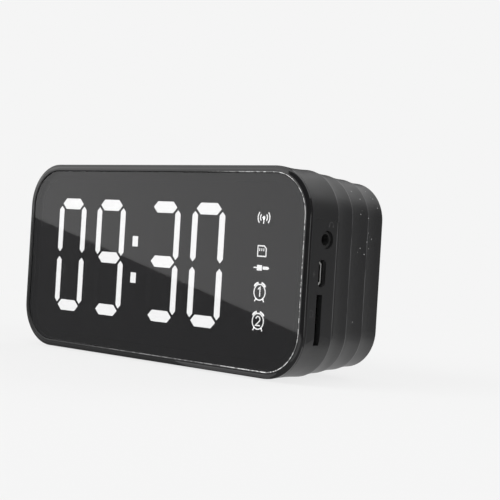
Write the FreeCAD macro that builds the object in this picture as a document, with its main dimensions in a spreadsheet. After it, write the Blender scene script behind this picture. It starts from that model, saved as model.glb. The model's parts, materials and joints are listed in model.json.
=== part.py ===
import FreeCAD, Part
import math
import os
import re
import Sketcher

# Alarm clock speaker: a rounded box that stands on four soft pads, with a lit clock behind a
# dark front window, five keys on top, three sockets in its right side and two loudspeakers
# behind a honeycomb grille at the back.
#
# Every piece is drawn in the housing's own directions: x to the right as seen from the front,
# y backwards from the front plane, z upwards from the middle of the height. A placement then
# sets the front plane at half the depth in front of the origin and the pads on z = 0.
# Lengths are in millimetres.

# Driving sizes

SIZES = {
    # Case
    "body_width": 140.0,
    "body_height": 68.0,
    "body_depth": 45.0,
    "corner_radius": 15.7,
    "wall": 2.0,
    "seam_depth": 1.1,
    "seam_gap": 0.14,
    # Flutes: each crest line runs round the case, further in than the one before
    "crest_1_back": 14.4,
    "crest_1_inset": 0.24,
    "crest_2_back": 22.75,
    "crest_2_inset": 1.12,
    "crest_3_back": 32.2,
    "crest_3_inset": 1.94,
    "crest_4_back": 40.9,
    "crest_4_inset": 2.72,
    "flute_sag": 0.25,
    # Front frame
    "rim_band": 0.5,
    "rim_round": 1.9,
    "rim_width": 1.5,
    "lip_width": 0.4,
    "lens_neck": 0.18,
    "lens_setback": 0.35,
    "lens_thickness": 1.5,
    "lens_bevel": 0.25,
    "lens_fit": 0.06,
    "tape_thickness": 0.2,
    "tape_margin_out": 0.2,
    "tape_margin_in": 0.1,
    "ledge_width": 2.9,
    "ledge_thickness": 1.0,
    "tongue_depth": 5.6,
    "tongue_thickness": 1.55,
    "tongue_fit": 0.12,
    "tongue_space": 0.9,
    "snap_width": 8.0,
    "snap_height": 0.36,
    "snap_length": 0.8,
    "snap_front": 4.1,
    "snap_fit": 0.2,
    "snap_pitch": 38.0,
    "snap_root": 0.4,
    "groove_fit": 0.1,
    # Clock display
    "film_thickness": 0.2,
    "film_fit": 0.1,
    "diffuser_thickness": 0.25,
    "reflector_thickness": 2.5,
    "wells_margin_side": 12.5,
    "wells_margin_top": 8.5,
    "wells_corner": 2.0,
    "digit_height": 42.0,
    "digit_width": 15.7,
    "digit_middle": 0.6,
    "bar_across": 4.2,
    "bar_upright": 2.9,
    "bar_gap": 0.7,
    "digit_1_place": -46.7,
    "digit_2_place": -25.0,
    "digit_3_place": 3.1,
    "digit_4_place": 24.3,
    "colon_place": -11.4,
    "colon_width": 3.1,
    "colon_height": 3.9,
    "colon_spread": 12.9,
    "sign_place": 49.2,
    "sign_width": 8.4,
    "sign_height": 4.6,
    "sign_1_level": 17.0,
    "sign_2_level": 6.4,
    "sign_3_level": 1.2,
    "sign_4_level": -6.9,
    "sign_5_level": -16.2,
    "window_fit": 0.05,
    "led_length": 1.6,
    "led_width": 0.8,
    "led_thickness": 0.6,
    # Main board
    "board_thickness": 1.6,
    "board_margin": 0.3,
    "post_width": 4.0,
    "post_place": 14.0,
    "post_root": 1.0,
    "board_tab_place": 19.0,
    "board_tab_width": 6.0,
    "board_tab_root": 1.0,
    "capacitor_place": -22.0,
    "capacitor_pitch": 7.0,
    "capacitor_level": -14.0,
    "capacitor_radius": 2.6,
    "capacitor_length": 5.6,
    # Sockets in the right side
    "jack_height": 11.3,
    "jack_hole_radius": 2.9,
    "jack_bore_radius": 1.85,
    "jack_bore_depth": 14.0,
    "jack_body_length": 12.0,
    "jack_body_width": 6.3,
    "jack_nose_radius": 2.75,
    "jack_recess": 1.3,
    "usb_height": 0.6,
    "usb_cut_length": 8.6,
    "usb_cut_width": 3.5,
    "usb_cut_corner": 1.45,
    "usb_cut_shift": 0.1,
    "usb_shell_length": 7.8,
    "usb_shell_width": 2.8,
    "usb_shell_slant": 1.0,
    "usb_shell_depth": 7.2,
    "usb_shell_reach": 2.0,
    "usb_shell_wall": 0.3,
    "usb_shell_floor": 0.5,
    "usb_blade_length": 5.8,
    "usb_blade_width": 3.9,
    "usb_blade_thickness": 0.65,
    "usb_blade_shift": 0.05,
    "card_height": -14.1,
    "card_cut_length": 16.0,
    "card_cut_width": 2.7,
    "card_cut_shift": -0.05,
    "card_shell_length": 14.8,
    "card_shell_width": 1.9,
    "card_shell_depth": 15.8,
    "card_shell_reach": 0.2,
    "card_shell_floor": 1.2,
    "card_mouth_length": 11.4,
    "card_mouth_width": 1.1,
    "panel_top": 17.7,
    "panel_bottom": -25.0,
    "panel_depth": 0.4,
    "panel_margin": 0.6,
    "panel_overrun": 1.2,
    "panel_corner": 2.5,
    "socket_cut_past": 2.0,
    # Keys
    "key_back": 18.6,
    "key_pitch": 18.0,
    "key_length": 11.0,
    "key_width": 5.6,
    "key_fit": 0.15,
    "key_proud": 0.7,
    "key_bevel": 0.3,
    "key_corner": 1.3,
    "key_travel": 0.5,
    "key_lip": 1.0,
    "key_lip_thickness": 0.8,
    "key_lip_gap": 0.12,
    "key_cut_past": 3.0,
    "key_stem_width": 3.0,
    "key_stem_length": 0.9,
    "plunger_width": 3.2,
    "plunger_length": 1.9,
    "plunger_fit": 0.15,
    "plunger_seat": 1.0,
    "plunger_space": 0.05,
    "switch_size": 6.2,
    "switch_height": 3.5,
    "key_board_thickness": 1.2,
    "key_board_width": 8.0,
    "key_board_length": 88.0,
    "clip_width": 2.4,
    "clip_thickness": 1.2,
    "clip_lip": 0.6,
    "clip_fit": 0.1,
    "clip_depth": 0.8,
    # Rear cover and grille
    "cover_gap": 0.12,
    "cover_thickness": 2.4,
    "cover_bevel": 3.9,
    "cover_edge": 0.5,
    "cover_rim": 3.4,
    "cover_rib_depth": 2.1,
    "cover_rib_thickness": 1.4,
    "cover_rib_fit": 0.15,
    "cover_rib_top": 56.0,
    "cover_rib_side": 27.0,
    "boss_radius": 3.4,
    "boss_length": 13.0,
    "boss_clear": 2.2,
    "boss_shift": 2.2,
    "web_thickness": 2.4,
    "grille_edge": 10.0,
    "grille_clear": 3.18,
    "grille_corner": 9.0,
    "grille_thickness": 0.85,
    "grille_fit": 0.12,
    "grille_bevel": 0.2,
    "grille_sink": 0.05,
    "cell_web": 1.1,
    "cell_margin": 0.6,
    # Loudspeakers
    "driver_edge": 28.0,
    "driver_clear": 0.48,
    "flange_thickness": 0.8,
    "gasket_thickness": 1.0,
    "gasket_margin": 0.2,
    "surround_lip": 0.4,
    "surround_roll": 1.0,
    "surround_skin": 0.6,
    "surround_shoulder": 0.4,
    "surround_overlap": 1.2,
    "mouth_overlap": 0.4,
    "surround_margin": 0.5,
    "surround_land": 2.0,
    "surround_width": 1.8,
    "cone_depth": 4.4,
    "cone_paper": 0.5,
    "cap_height": 2.0,
    "cap_paper": 0.4,
    "cap_shoulder": 4.8,
    "cap_edge": 0.05,
    "glue_gap": 0.02,
    "coil_radius": 7.6,
    "coil_thickness": 0.7,
    "coil_length": 6.6,
    "magnet_gap": 0.35,
    "yoke_wall": 2.3,
    "yoke_floor": 1.6,
    "yoke_depth": 7.8,
    "pole_thickness": 2.0,
    "magnet_step": 0.5,
    "basket_depth": 8.2,
    "basket_sheet": 0.8,
    "basket_foot": 3.0,
    "basket_fit": 0.3,
    "basket_rim": 2.0,
    "driver_corner": 3.0,
    "window_width": 9.0,
    "window_front": 0.6,
    "window_back": 1.0,
    # Battery
    "battery_width": 38.0,
    "battery_height": 44.0,
    "battery_thickness": 7.8,
    "battery_corner": 3.0,
    "battery_tape": 0.8,
    "battery_tape_margin": 3.0,
    "battery_tape_corner": 1.0,
    # Screws
    "case_screw_radius": 1.3,
    "case_screw_head": 2.6,
    "case_screw_head_depth": 1.7,
    "case_screw_length": 10.0,
    "head_sink": 0.3,
    "pilot_space": 0.5,
    "screw_fit": 0.03,
    "hole_fit": 0.2,
    # Feet
    "foot_height": 0.6,
    "foot_radius": 3.9,
    "foot_back_front": 10.2,
    "foot_back_rear": 36.5,
    "foot_recess_front": 1.0,
    "foot_recess_rear": 3.2,
    "foot_fit": 0.1,
    "foot_edge": 32.0,
}

document = FreeCAD.newDocument("AlarmClockSpeaker")
sheet = document.addObject("Spreadsheet::Sheet", "Sizes")
for row, (alias, number) in enumerate(SIZES.items(), start=1):
    sheet.set(f"A{row}", alias)
    sheet.set(f"B{row}", str(number))
    sheet.setAlias(f"B{row}", alias)
document.recompute()

# Values worked out from the driving sizes, as formulas in the sheet's words

HALF_WIDTH = "(body_width / 2)"
HALF_HEIGHT = "(body_height / 2)"
HOUSING_FRONT = "(seam_depth + seam_gap)"
LENS_BACK = "(lens_setback + lens_thickness)"
LEDGE_FRONT = f"({LENS_BACK} + tape_thickness)"
LEDGE_BACK = f"({LEDGE_FRONT} + ledge_thickness)"
TONGUE_OUTER = "(wall + tongue_fit)"
LENS_BORDER = f"({TONGUE_OUTER} + lens_neck)"
LEDGE_INNER = f"({LENS_BORDER} + ledge_width)"
TONGUE_INNER = f"({TONGUE_OUTER} + tongue_thickness)"
TAPER_FRONT = "(tongue_depth + tongue_space)"
FILM_BACK = f"({LENS_BACK} + film_thickness)"
DIFFUSER_BACK = f"({FILM_BACK} + diffuser_thickness)"
BOARD_FRONT = f"({DIFFUSER_BACK} + reflector_thickness)"
BOARD_BACK = f"({BOARD_FRONT} + board_thickness)"
BOARD_INSET = f"({TONGUE_INNER} + board_margin)"
POST_X = f"({HALF_WIDTH} - {LEDGE_INNER} + post_root)"
COVER_FRONT = "(crest_4_back + cover_gap)"
COVER_INSET = "(crest_4_inset + cover_gap)"
COVER_INNER = "(body_depth - cover_thickness)"
REAR_INSIDE = "(crest_4_inset + wall)"
BOSS_X = f"({HALF_WIDTH} - corner_radius + boss_shift)"
BOSS_Z = f"({HALF_HEIGHT} - {REAR_INSIDE} - boss_radius - boss_clear)"
DRIVER_PLACE = f"({HALF_WIDTH} - driver_edge)"
DRIVER_HALF = f"({BOSS_Z} - boss_radius - driver_clear - clip_thickness - clip_fit)"
SURROUND_OUTER = f"({DRIVER_HALF} - surround_margin)"
SURROUND_INNER = f"({SURROUND_OUTER} - surround_land)"
CONE_RADIUS = f"({SURROUND_INNER} - surround_width)"
MOUTH = f"({SURROUND_INNER} - mouth_overlap)"
GRILLE_HALF_X = f"({HALF_WIDTH} - grille_edge)"
GRILLE_HALF_Z = f"({BOSS_Z} - grille_clear)"
# Rings of cells round the middle cell in front of each loudspeaker
GRILLE_RINGS = 3
CELL_PITCH = f"(({MOUTH} - cell_margin) / {GRILLE_RINGS})"
CELL_ACROSS = f"({CELL_PITCH} - cell_web)"
SCREW_SEAT = "(body_depth - case_screw_head_depth - head_sink)"
GRILLE_SEAT = "(body_depth - grille_thickness - grille_sink)"
FLANGE_BACK = f"({COVER_INNER} - gasket_thickness - surround_lip)"
FLANGE_FRONT = f"({FLANGE_BACK} - flange_thickness)"
BASKET_FRONT = f"({FLANGE_BACK} - basket_depth)"
COIL_OUTER = "(coil_radius + coil_thickness / 2)"
COIL_INNER = "(coil_radius - coil_thickness / 2)"
COIL_BACK = f"({FLANGE_BACK} - cone_depth)"
YOKE_BORE = f"({COIL_OUTER} + magnet_gap)"
YOKE_FRONT = f"({BASKET_FRONT} - yoke_depth)"
POLE_RADIUS = f"({COIL_INNER} - magnet_gap)"
POLE_FRONT = f"({BASKET_FRONT} - pole_thickness)"
KEY_SLOPE = "((crest_2_inset - crest_1_inset) / (crest_2_back - crest_1_back))"
KEY_SURFACE = (
    f"({HALF_HEIGHT} - crest_1_inset - {KEY_SLOPE} * (key_back - crest_1_back) - flute_sag)"
)
INNER_SLOPE = f"(crest_4_inset / (crest_4_back - {TAPER_FRONT}))"
KEY_TOP = f"({KEY_SURFACE} + key_proud)"
LIP_EDGE = f"(key_back + key_width / 2 + key_lip - {TAPER_FRONT})"
LIP_TOP = f"({HALF_HEIGHT} - wall - {INNER_SLOPE} * {LIP_EDGE} - key_lip_gap)"
LIP_BOTTOM = f"({LIP_TOP} - key_lip_thickness)"
STEM_BOTTOM = f"({LIP_BOTTOM} - key_stem_length)"
SWITCH_TOP = f"({STEM_BOTTOM} - plunger_length + plunger_seat)"
SWITCH_BOTTOM = f"({SWITCH_TOP} - switch_height)"
KEY_BOARD_BOTTOM = f"({SWITCH_BOTTOM} - key_board_thickness)"
CLIP_X = "(key_pitch * 1.5)"
BATTERY_BACK = f"({COVER_INNER} - battery_tape)"
BATTERY_FRONT = f"({BATTERY_BACK} - battery_thickness)"
JACK_BACK = f"({BOARD_BACK} + jack_body_width / 2)"
USB_MIDDLE = f"({BOARD_BACK} + usb_shell_width / 2)"
USB_BACK = f"({USB_MIDDLE} + usb_cut_shift)"
CARD_MIDDLE = f"({BOARD_BACK} + card_shell_width / 2)"
CARD_BACK = f"({CARD_MIDDLE} + card_cut_shift)"
WELLS_HALF_X = f"({HALF_WIDTH} - wells_margin_side)"
WELLS_HALF_Z = f"({HALF_HEIGHT} - wells_margin_top)"
SOCKET_EDGE = f"({HALF_WIDTH} - {BOARD_INSET})"
FOOT_BOTTOM = f"(-{HALF_HEIGHT} - foot_height)"

# How far a cutter starts outside the piece, and how far joined shapes reach into each other
CLEAR = "1"
OVERLAP = "0.1"


def formula(text):
    """Turn the sheet's words in a text into references to its cells."""

    def cell(word):
        return f"Sizes.{word[0]}" if word[0] in SIZES else word[0]

    return re.sub(r"[a-z]\w*", cell, text)


def value(text):
    """Work out a formula as a number."""
    return float(sheet.evalExpression(formula(text)))


# Sketches and features

PLANES = {"XY": ("XY_Plane", 1), "XZ": ("XZ_Plane", -1), "YZ": ("YZ_Plane", 1)}


def origin_feature(body, role):
    """Find one of a body's own origin planes or axes."""
    return next(item for item in body.Origin.OriginFeatures if item.Role == role)


def new_body(name):
    """Start a sub-part, placed so that its pads' level is z = 0."""
    body = document.addObject("PartDesign::Body", name)
    body.Label = name
    body.AllowCompound = True
    body.setExpression("Placement.Base.y", formula("-body_depth / 2"))
    body.setExpression("Placement.Base.z", formula("foot_height + body_height / 2"))
    return body


def new_sketch(body, plane, level="0", across="0", up="0"):
    """Lay a sketch on a plane at a level, with its origin moved across and up."""
    role, sign = PLANES[plane]
    sketch = body.newObject("Sketcher::SketchObject", f"{body.Name}_sketch")
    sketch.AttachmentSupport = (origin_feature(body, role), [""])
    sketch.MapMode = "FlatFace"
    sketch.setExpression("AttachmentOffset.Base.x", formula(across))
    sketch.setExpression("AttachmentOffset.Base.y", formula(up))
    sketch.setExpression("AttachmentOffset.Base.z", formula(f"{sign} * ({level})"))
    return sketch


def bind(sketch, kind, geometry, point, text):
    """Hold a point's distance from the sketch origin to a formula."""
    number = sketch.addConstraint(
        Sketcher.Constraint(kind, -1, 1, geometry, point, value(text))
    )
    sketch.setExpression(f"Constraints[{number}]", formula(text))


def bind_radius(sketch, geometry, text):
    """Hold a circle's or an arc's radius to a formula."""
    number = sketch.addConstraint(Sketcher.Constraint("Radius", geometry, value(text)))
    sketch.setExpression(f"Constraints[{number}]", formula(text))


def arc_middle(start, end, radius, side):
    """Find the middle of an arc that bulges to the right of its chord for side 1."""
    chord = end - start
    sag = radius - math.sqrt(max(radius ** 2 - chord.Length ** 2 / 4, 0.0))
    outward = FreeCAD.Vector(chord.y, -chord.x, 0).normalize()
    return (start + end) * 0.5 + outward * sag * side


def outline(sketch, corners):
    """Draw a closed ring; a corner is (x, y), or (x, y, radius, side) before an arc."""
    places = [FreeCAD.Vector(value(item[0]), value(item[1]), 0) for item in corners]
    count = len(corners)
    joints = []
    for index, corner in enumerate(corners):
        start = places[index]
        end = places[(index + 1) % count]
        if len(corner) == 2:
            edge = sketch.addGeometry(Part.LineSegment(start, end), False)
        else:
            middle = arc_middle(start, end, value(corner[2]), corner[3])
            edge = sketch.addGeometry(Part.Arc(start, middle, end), False)
        turned = sketch.getPoint(edge, 1).distanceToPoint(start) > 1e-6
        joints.append((edge, 2, 1) if turned else (edge, 1, 2))
    for index, (edge, first, last) in enumerate(joints):
        following = joints[(index + 1) % count]
        sketch.addConstraint(
            Sketcher.Constraint("Coincident", edge, last, following[0], following[1])
        )
    for (edge, first, last), corner in zip(joints, corners):
        bind(sketch, "DistanceX", edge, first, corner[0])
        bind(sketch, "DistanceY", edge, first, corner[1])
        if len(corner) > 2:
            bind_radius(sketch, edge, corner[2])


def rectangle(sketch, low_x, high_x, low_y, high_y):
    """Draw a rectangle between four formulas."""
    outline(sketch, [(low_x, low_y), (high_x, low_y), (high_x, high_y), (low_x, high_y)])


def square(sketch, x, y, width):
    """Draw a square about a centre."""
    rectangle(
        sketch,
        f"{x} - {width} / 2",
        f"{x} + {width} / 2",
        f"{y} - {width} / 2",
        f"{y} + {width} / 2",
    )


def rounded_rectangle(sketch, half_x, half_y, radius, x="0", y="0"):
    """Draw a rectangle with round corners about a centre."""
    corners = []
    for sign_x, sign_y, order in ((1, -1, 0), (1, 1, 1), (-1, 1, 0), (-1, -1, 1)):
        side = (f"{x} + {sign_x} * ({half_x})", f"{y} + {sign_y} * ({half_y} - {radius})")
        flat = (f"{x} + {sign_x} * ({half_x} - {radius})", f"{y} + {sign_y} * ({half_y})")
        first, last = (flat, side) if order == 0 else (side, flat)
        corners.append((*first, radius, 1))
        corners.append(last)
    outline(sketch, corners)


def cut_rectangle(sketch, half_x, half_y, cut, x="0", y="0"):
    """Draw a rectangle with its corners cut off at 45 degrees, about a centre."""
    ring = []
    for sign_x, sign_y in ((1, -1), (1, 1), (-1, 1), (-1, -1)):
        side = (f"{x} + {sign_x} * ({half_x})", f"{y} + {sign_y} * ({half_y} - {cut})")
        flat = (f"{x} + {sign_x} * ({half_x} - {cut})", f"{y} + {sign_y} * ({half_y})")
        ring += [flat, side] if sign_x * sign_y < 0 else [side, flat]
    outline(sketch, ring)


def circle(sketch, x, y, radius):
    """Draw a circle about a centre."""
    centre = FreeCAD.Vector(value(x), value(y), 0)
    ring = Part.Circle(centre, FreeCAD.Vector(0, 0, 1), value(radius))
    edge = sketch.addGeometry(ring, False)
    bind(sketch, "DistanceX", edge, 3, x)
    bind(sketch, "DistanceY", edge, 3, y)
    bind_radius(sketch, edge, radius)


def normal_sign(sketch):
    """Tell whether a sketch's normal points along its axis or against it."""
    role = sketch.AttachmentSupport[0][0].Role
    return next(sign for name, sign in PLANES.values() if name == role)


def pad(sketch, length, towards=1):
    """Raise a sketch by a length, along its plane's axis for towards 1."""
    body = sketch.getParentGeoFeatureGroup()
    feature = body.newObject("PartDesign::Pad", f"{body.Name}_pad")
    feature.Profile = sketch
    feature.setExpression("Length", formula(length))
    feature.Reversed = normal_sign(sketch) * towards < 0
    return feature


def pocket(sketch, length, towards=1):
    """Cut a sketch by a length, along its plane's axis for towards 1."""
    body = sketch.getParentGeoFeatureGroup()
    feature = body.newObject("PartDesign::Pocket", f"{body.Name}_pocket")
    feature.Profile = sketch
    feature.setExpression("Length", formula(length))
    feature.Reversed = normal_sign(sketch) * towards > 0
    return feature


def revolve(sketch, axis="V_Axis", angle=360):
    """Turn a sketch about one of its own axes."""
    body = sketch.getParentGeoFeatureGroup()
    feature = body.newObject("PartDesign::Revolution", f"{body.Name}_turn")
    feature.Profile = sketch
    feature.ReferenceAxis = (sketch, [axis])
    feature.Angle = angle
    return feature


def mirror(body, features, role):
    """Repeat features, or the whole piece, on the other side of a middle plane."""
    document.recompute()
    feature = body.newObject("PartDesign::Mirrored", f"{body.Name}_mirror")
    if features:
        feature.Originals = features
    else:
        feature.TransformMode = "Whole shape"
    feature.MirrorPlane = (origin_feature(body, role), [""])
    body.Tip = feature
    return feature


def face_edges(feature, axis, lowest):
    """Name the face of a feature that lies furthest along an axis or against it."""
    document.recompute()
    index = "XYZ".index(axis)
    faces = feature.Shape.Faces
    places = [face.CenterOfMass[index] + face.BoundBox.DiagonalLength * 1e-6 for face in faces]
    flat = [
        number
        for number, face in enumerate(faces)
        if getattr(face.BoundBox, f"{axis}Length") < 1e-4
    ]
    pick = min if lowest else max
    return f"Face{pick(flat, key=lambda number: places[number]) + 1}"


def soften(kind, feature, axis, lowest, width):
    """Chamfer or fillet the edges of a feature's outermost face."""
    body = feature.getParentGeoFeatureGroup()
    name = face_edges(feature, axis, lowest)
    edge = body.newObject(f"PartDesign::{kind}", f"{body.Name}_{kind.lower()}")
    edge.Base = (feature, [name])
    edge.setExpression("Size" if kind == "Chamfer" else "Radius", formula(width))
    body.Tip = edge
    return edge


def case_ring(body, profile):
    """Carry a profile of (back, inset) points round a quarter of the case.

    The corner is a quarter turn and the two straight runs are pads, so every face stays a
    plane, a cylinder or a torus. The quarter is mirrored later.
    """
    middle_x = f"{HALF_WIDTH} - corner_radius"
    middle_z = f"{HALF_HEIGHT} - corner_radius"
    across = [(item[0], f"corner_radius - ({item[1]})", *item[2:]) for item in profile]
    turned = [
        (f"corner_radius - ({item[1]})", item[0], *(item[2:3] + ((-item[3],) if item[3:] else ())))
        for item in profile
    ]
    corner = new_sketch(body, "YZ", middle_x, "0", middle_z)
    outline(corner, across)
    revolve(corner, "H_Axis", 90)
    top = new_sketch(body, "YZ", "0", "0", middle_z)
    outline(top, across)
    pad(top, middle_x)
    side = new_sketch(body, "XY", "0", middle_x)
    outline(side, turned)
    pad(side, middle_z)


def case_plate(body, front, inset, length):
    """Raise a plate with the case's outline, less an inset."""
    sketch = new_sketch(body, "XZ", front)
    rounded_rectangle(
        sketch, f"{HALF_WIDTH} - {inset}", f"{HALF_HEIGHT} - {inset}", f"(corner_radius - {inset})"
    )
    return pad(sketch, length)


def mirror_quarter(body):
    """Complete a quarter of the case with its mirror images."""
    mirror(body, [], "YZ_Plane")
    mirror(body, [], "XY_Plane")


# Clock bars

DIGITS = {"digit_1_place": "0", "digit_2_place": "9", "digit_3_place": "3", "digit_4_place": "0"}
BARS_OF = {"0": "abcdef", "9": "abcdfg", "3": "abcdg"}
BAR_REACH_Z = "((digit_height - bar_across) / 2)"
BAR_REACH_X = "((digit_width - bar_upright) / 2)"
BAR_HALF = f"({BAR_REACH_X} - bar_gap / 2)"
UPRIGHT_HALF = f"(({BAR_REACH_Z} - bar_gap * 2) / 2)"


def bar_hexagon(sketch, x, z, half, thick, upright, grow):
    """Draw one clock bar as a hexagon with pointed ends."""
    tip = f"({half} + {grow} * 1.4)"
    flat = f"({half} - {thick} / 2 + {grow} * 0.4)"
    rise = f"({thick} / 2 + {grow})"
    ring = [(tip, "0"), (flat, rise), (f"-{flat}", rise)]
    ring += [(f"-{tip}", "0"), (f"-{flat}", f"-{rise}"), (flat, f"-{rise}")]
    if upright:
        ring = [(second, first) for first, second in ring]
    outline(sketch, [(f"{x} + {first}", f"{z} + {second}") for first, second in ring])


def draw_bars(sketch, place, letters, grow="0"):
    """Draw the lettered bars of one digit, a at the top and then clockwise, g in the middle."""
    for letter in letters:
        if letter in "adg":
            level = {"a": f"{BAR_REACH_Z}", "d": f"-{BAR_REACH_Z}", "g": "0"}[letter]
            bar_hexagon(
                sketch, place, f"digit_middle + {level}", BAR_HALF, "bar_across", False, grow
            )
        else:
            side = 1 if letter in "bc" else -1
            level = 1 if letter in "bf" else -1
            bar_hexagon(
                sketch,
                f"{place} + {side} * {BAR_REACH_X}",
                f"digit_middle + {level} * {BAR_REACH_Z} / 2",
                UPRIGHT_HALF,
                "bar_upright",
                True,
                grow,
            )


def draw_colon(sketch, grow="0"):
    """Draw the two blocks between the hours and the minutes."""
    for level in (-1, 1):
        middle = f"digit_middle + {level} * colon_spread / 2"
        rectangle(
            sketch,
            f"colon_place - colon_width / 2 - {grow}",
            f"colon_place + colon_width / 2 + {grow}",
            f"{middle} - colon_height / 2 - {grow}",
            f"{middle} + colon_height / 2 + {grow}",
        )


# Levels of the five small signs beside the digits
SIGN_LEVELS = [f"sign_{number}_level" for number in range(1, 6)]


def front_bezel():
    """Glossy front frame: sloped rim, window ledge, tongue with snaps and board posts."""
    body = new_body("front_bezel")
    lip = "(rim_width + lip_width)"
    ring = [
        ("seam_depth", "0"),
        ("rim_band", "0", "rim_round", -1),
        ("0", "rim_width"),
        ("0", lip),
        ("lens_setback", LENS_BORDER),
        (LEDGE_FRONT, LENS_BORDER),
        (LEDGE_FRONT, LEDGE_INNER),
        (LEDGE_BACK, LEDGE_INNER),
        (LEDGE_BACK, TONGUE_INNER),
        ("tongue_depth", TONGUE_INNER),
        ("tongue_depth", TONGUE_OUTER),
        ("seam_depth", TONGUE_OUTER),
    ]
    case_ring(body, ring)
    snaps = new_sketch(body, "XY", f"{HALF_HEIGHT} - {TONGUE_OUTER} - snap_root")
    rectangle(snaps, "0", "snap_width / 2", "snap_front", "snap_front + snap_length")
    rectangle(
        snaps,
        "snap_pitch - snap_width / 2",
        "snap_pitch + snap_width / 2",
        "snap_front",
        "snap_front + snap_length",
    )
    pad(snaps, "snap_height + snap_root")
    # Board rests on the side ledges, and tabs that hook behind the board
    rests = new_sketch(body, "XZ", LEDGE_FRONT)
    rectangle(rests, f"{POST_X} - post_width / 2", POST_X, "post_place", "post_place + post_width")
    pad(rests, f"{BOARD_FRONT} - {LEDGE_FRONT}")
    low = "board_tab_place - board_tab_width / 2"
    high = "board_tab_place + board_tab_width / 2"
    tab_back = f"({BOARD_BACK} + clip_fit / 2 + clip_depth)"
    tabs = new_sketch(body, "XY", f"{HALF_HEIGHT} - {TONGUE_INNER}")
    rectangle(tabs, low, high, "tongue_depth - board_tab_root", tab_back)
    pad(tabs, "tongue_thickness - tongue_fit * 2")
    lips = new_sketch(body, "XY", f"{HALF_HEIGHT} - {BOARD_INSET} - clip_lip")
    rectangle(lips, low, high, f"{BOARD_BACK} + clip_fit / 2", tab_back)
    pad(lips, f"board_margin + clip_lip + {OVERLAP}")
    mirror_quarter(body)


def display_lens():
    """Dark window, bevelled round its front edge."""
    body = new_body("display_lens")
    inset = f"({LENS_BORDER} + lens_fit)"
    plate = case_plate(body, "lens_setback", inset, "lens_thickness")
    soften("Chamfer", plate, "Y", True, "lens_bevel")


def lens_tape():
    """Adhesive ring between the window and the frame's ledge."""
    body = new_body("lens_tape")
    inset = f"({LENS_BORDER} + tape_margin_out)"
    case_plate(body, LENS_BACK, inset, "tape_thickness")
    opening = new_sketch(body, "XZ", LENS_BACK)
    edge = f"({LEDGE_INNER} - tape_margin_in)"
    rounded_rectangle(
        opening, f"{HALF_WIDTH} - {edge}", f"{HALF_HEIGHT} - {edge}", f"(corner_radius - {edge})"
    )
    pocket(opening, "tape_thickness")


def cut_display(body, front, length, grow, signs):
    """Cut the clock's bars, blocks and sign windows through a display layer."""
    for place in DIGITS:
        sketch = new_sketch(body, "XZ", front)
        draw_bars(sketch, place, "abcdefg", grow)
        pocket(sketch, length)
    sketch = new_sketch(body, "XZ", front)
    draw_colon(sketch, grow)
    if signs:
        for level in SIGN_LEVELS:
            rectangle(
                sketch,
                "sign_place - sign_width / 2",
                "sign_place + sign_width / 2",
                f"{level} - sign_height / 2",
                f"{level} + sign_height / 2",
            )
    pocket(sketch, length)


def segment_mask():
    """Black film on the back of the window, open where the clock shows."""
    body = new_body("segment_mask")
    case_plate(body, LENS_BACK, f"({LEDGE_INNER} + film_fit)", "film_thickness")
    cut_display(body, LENS_BACK, "film_thickness", "window_fit", False)


def diffuser_sheet():
    """Thin milky sheet that evens out the light of the bars."""
    body = new_body("diffuser_sheet")
    sketch = new_sketch(body, "XZ", FILM_BACK)
    rounded_rectangle(sketch, WELLS_HALF_X, WELLS_HALF_Z, "wells_corner")
    pad(sketch, "diffuser_thickness")


def segment_reflector():
    """White block with one well behind each bar."""
    body = new_body("segment_reflector")
    sketch = new_sketch(body, "XZ", DIFFUSER_BACK)
    rounded_rectangle(sketch, WELLS_HALF_X, WELLS_HALF_Z, "wells_corner")
    pad(sketch, "reflector_thickness")
    cut_display(body, DIFFUSER_BACK, "reflector_thickness", "0", True)


def clock_bars():
    """Translucent bars in the mask's windows: those lit at half past nine, and the others."""
    lit = new_body("lit_segments")
    unlit = new_body("unlit_segments")
    for place, digit in DIGITS.items():
        sketch = new_sketch(lit, "XZ", LENS_BACK)
        draw_bars(sketch, place, BARS_OF[digit])
        pad(sketch, "film_thickness")
        sketch = new_sketch(unlit, "XZ", LENS_BACK)
        draw_bars(sketch, place, [letter for letter in "abcdefg" if letter not in BARS_OF[digit]])
        pad(sketch, "film_thickness")
    sketch = new_sketch(lit, "XZ", LENS_BACK)
    draw_colon(sketch)
    pad(sketch, "film_thickness")


def segment_leds():
    """Surface-mounted lamps on the board, one in each well."""
    body = new_body("segment_leds")
    front = f"{BOARD_FRONT} - led_thickness"
    for place in DIGITS:
        sketch = new_sketch(body, "XZ", front)
        spots = [("0", f"{level} * {BAR_REACH_Z}", True) for level in (-1, 0, 1)]
        for side in (-1, 1):
            for level in (-1, 1):
                spots.append((f"{side} * {BAR_REACH_X}", f"{level} * {BAR_REACH_Z} / 2", False))
        for x, z, flat in spots:
            half_x, half_z = ("led_length / 2", "led_width / 2")
            if not flat:
                half_x, half_z = half_z, half_x
            rectangle(
                sketch,
                f"{place} + {x} - {half_x}",
                f"{place} + {x} + {half_x}",
                f"digit_middle + {z} - {half_z}",
                f"digit_middle + {z} + {half_z}",
            )
        pad(sketch, "led_thickness")
    sketch = new_sketch(body, "XZ", front)
    spots = [("colon_place", f"digit_middle + {level} * colon_spread / 2") for level in (-1, 1)]
    spots += [("sign_place", level) for level in SIGN_LEVELS]
    for x, z in spots:
        rectangle(
            sketch,
            f"{x} - led_length / 2",
            f"{x} + led_length / 2",
            f"{z} - led_width / 2",
            f"{z} + led_width / 2",
        )
    pad(sketch, "led_thickness")


def main_board():
    """Circuit board behind the display, clipped into the front frame."""
    body = new_body("main_board")
    case_plate(body, BOARD_FRONT, BOARD_INSET, "board_thickness")


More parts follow.
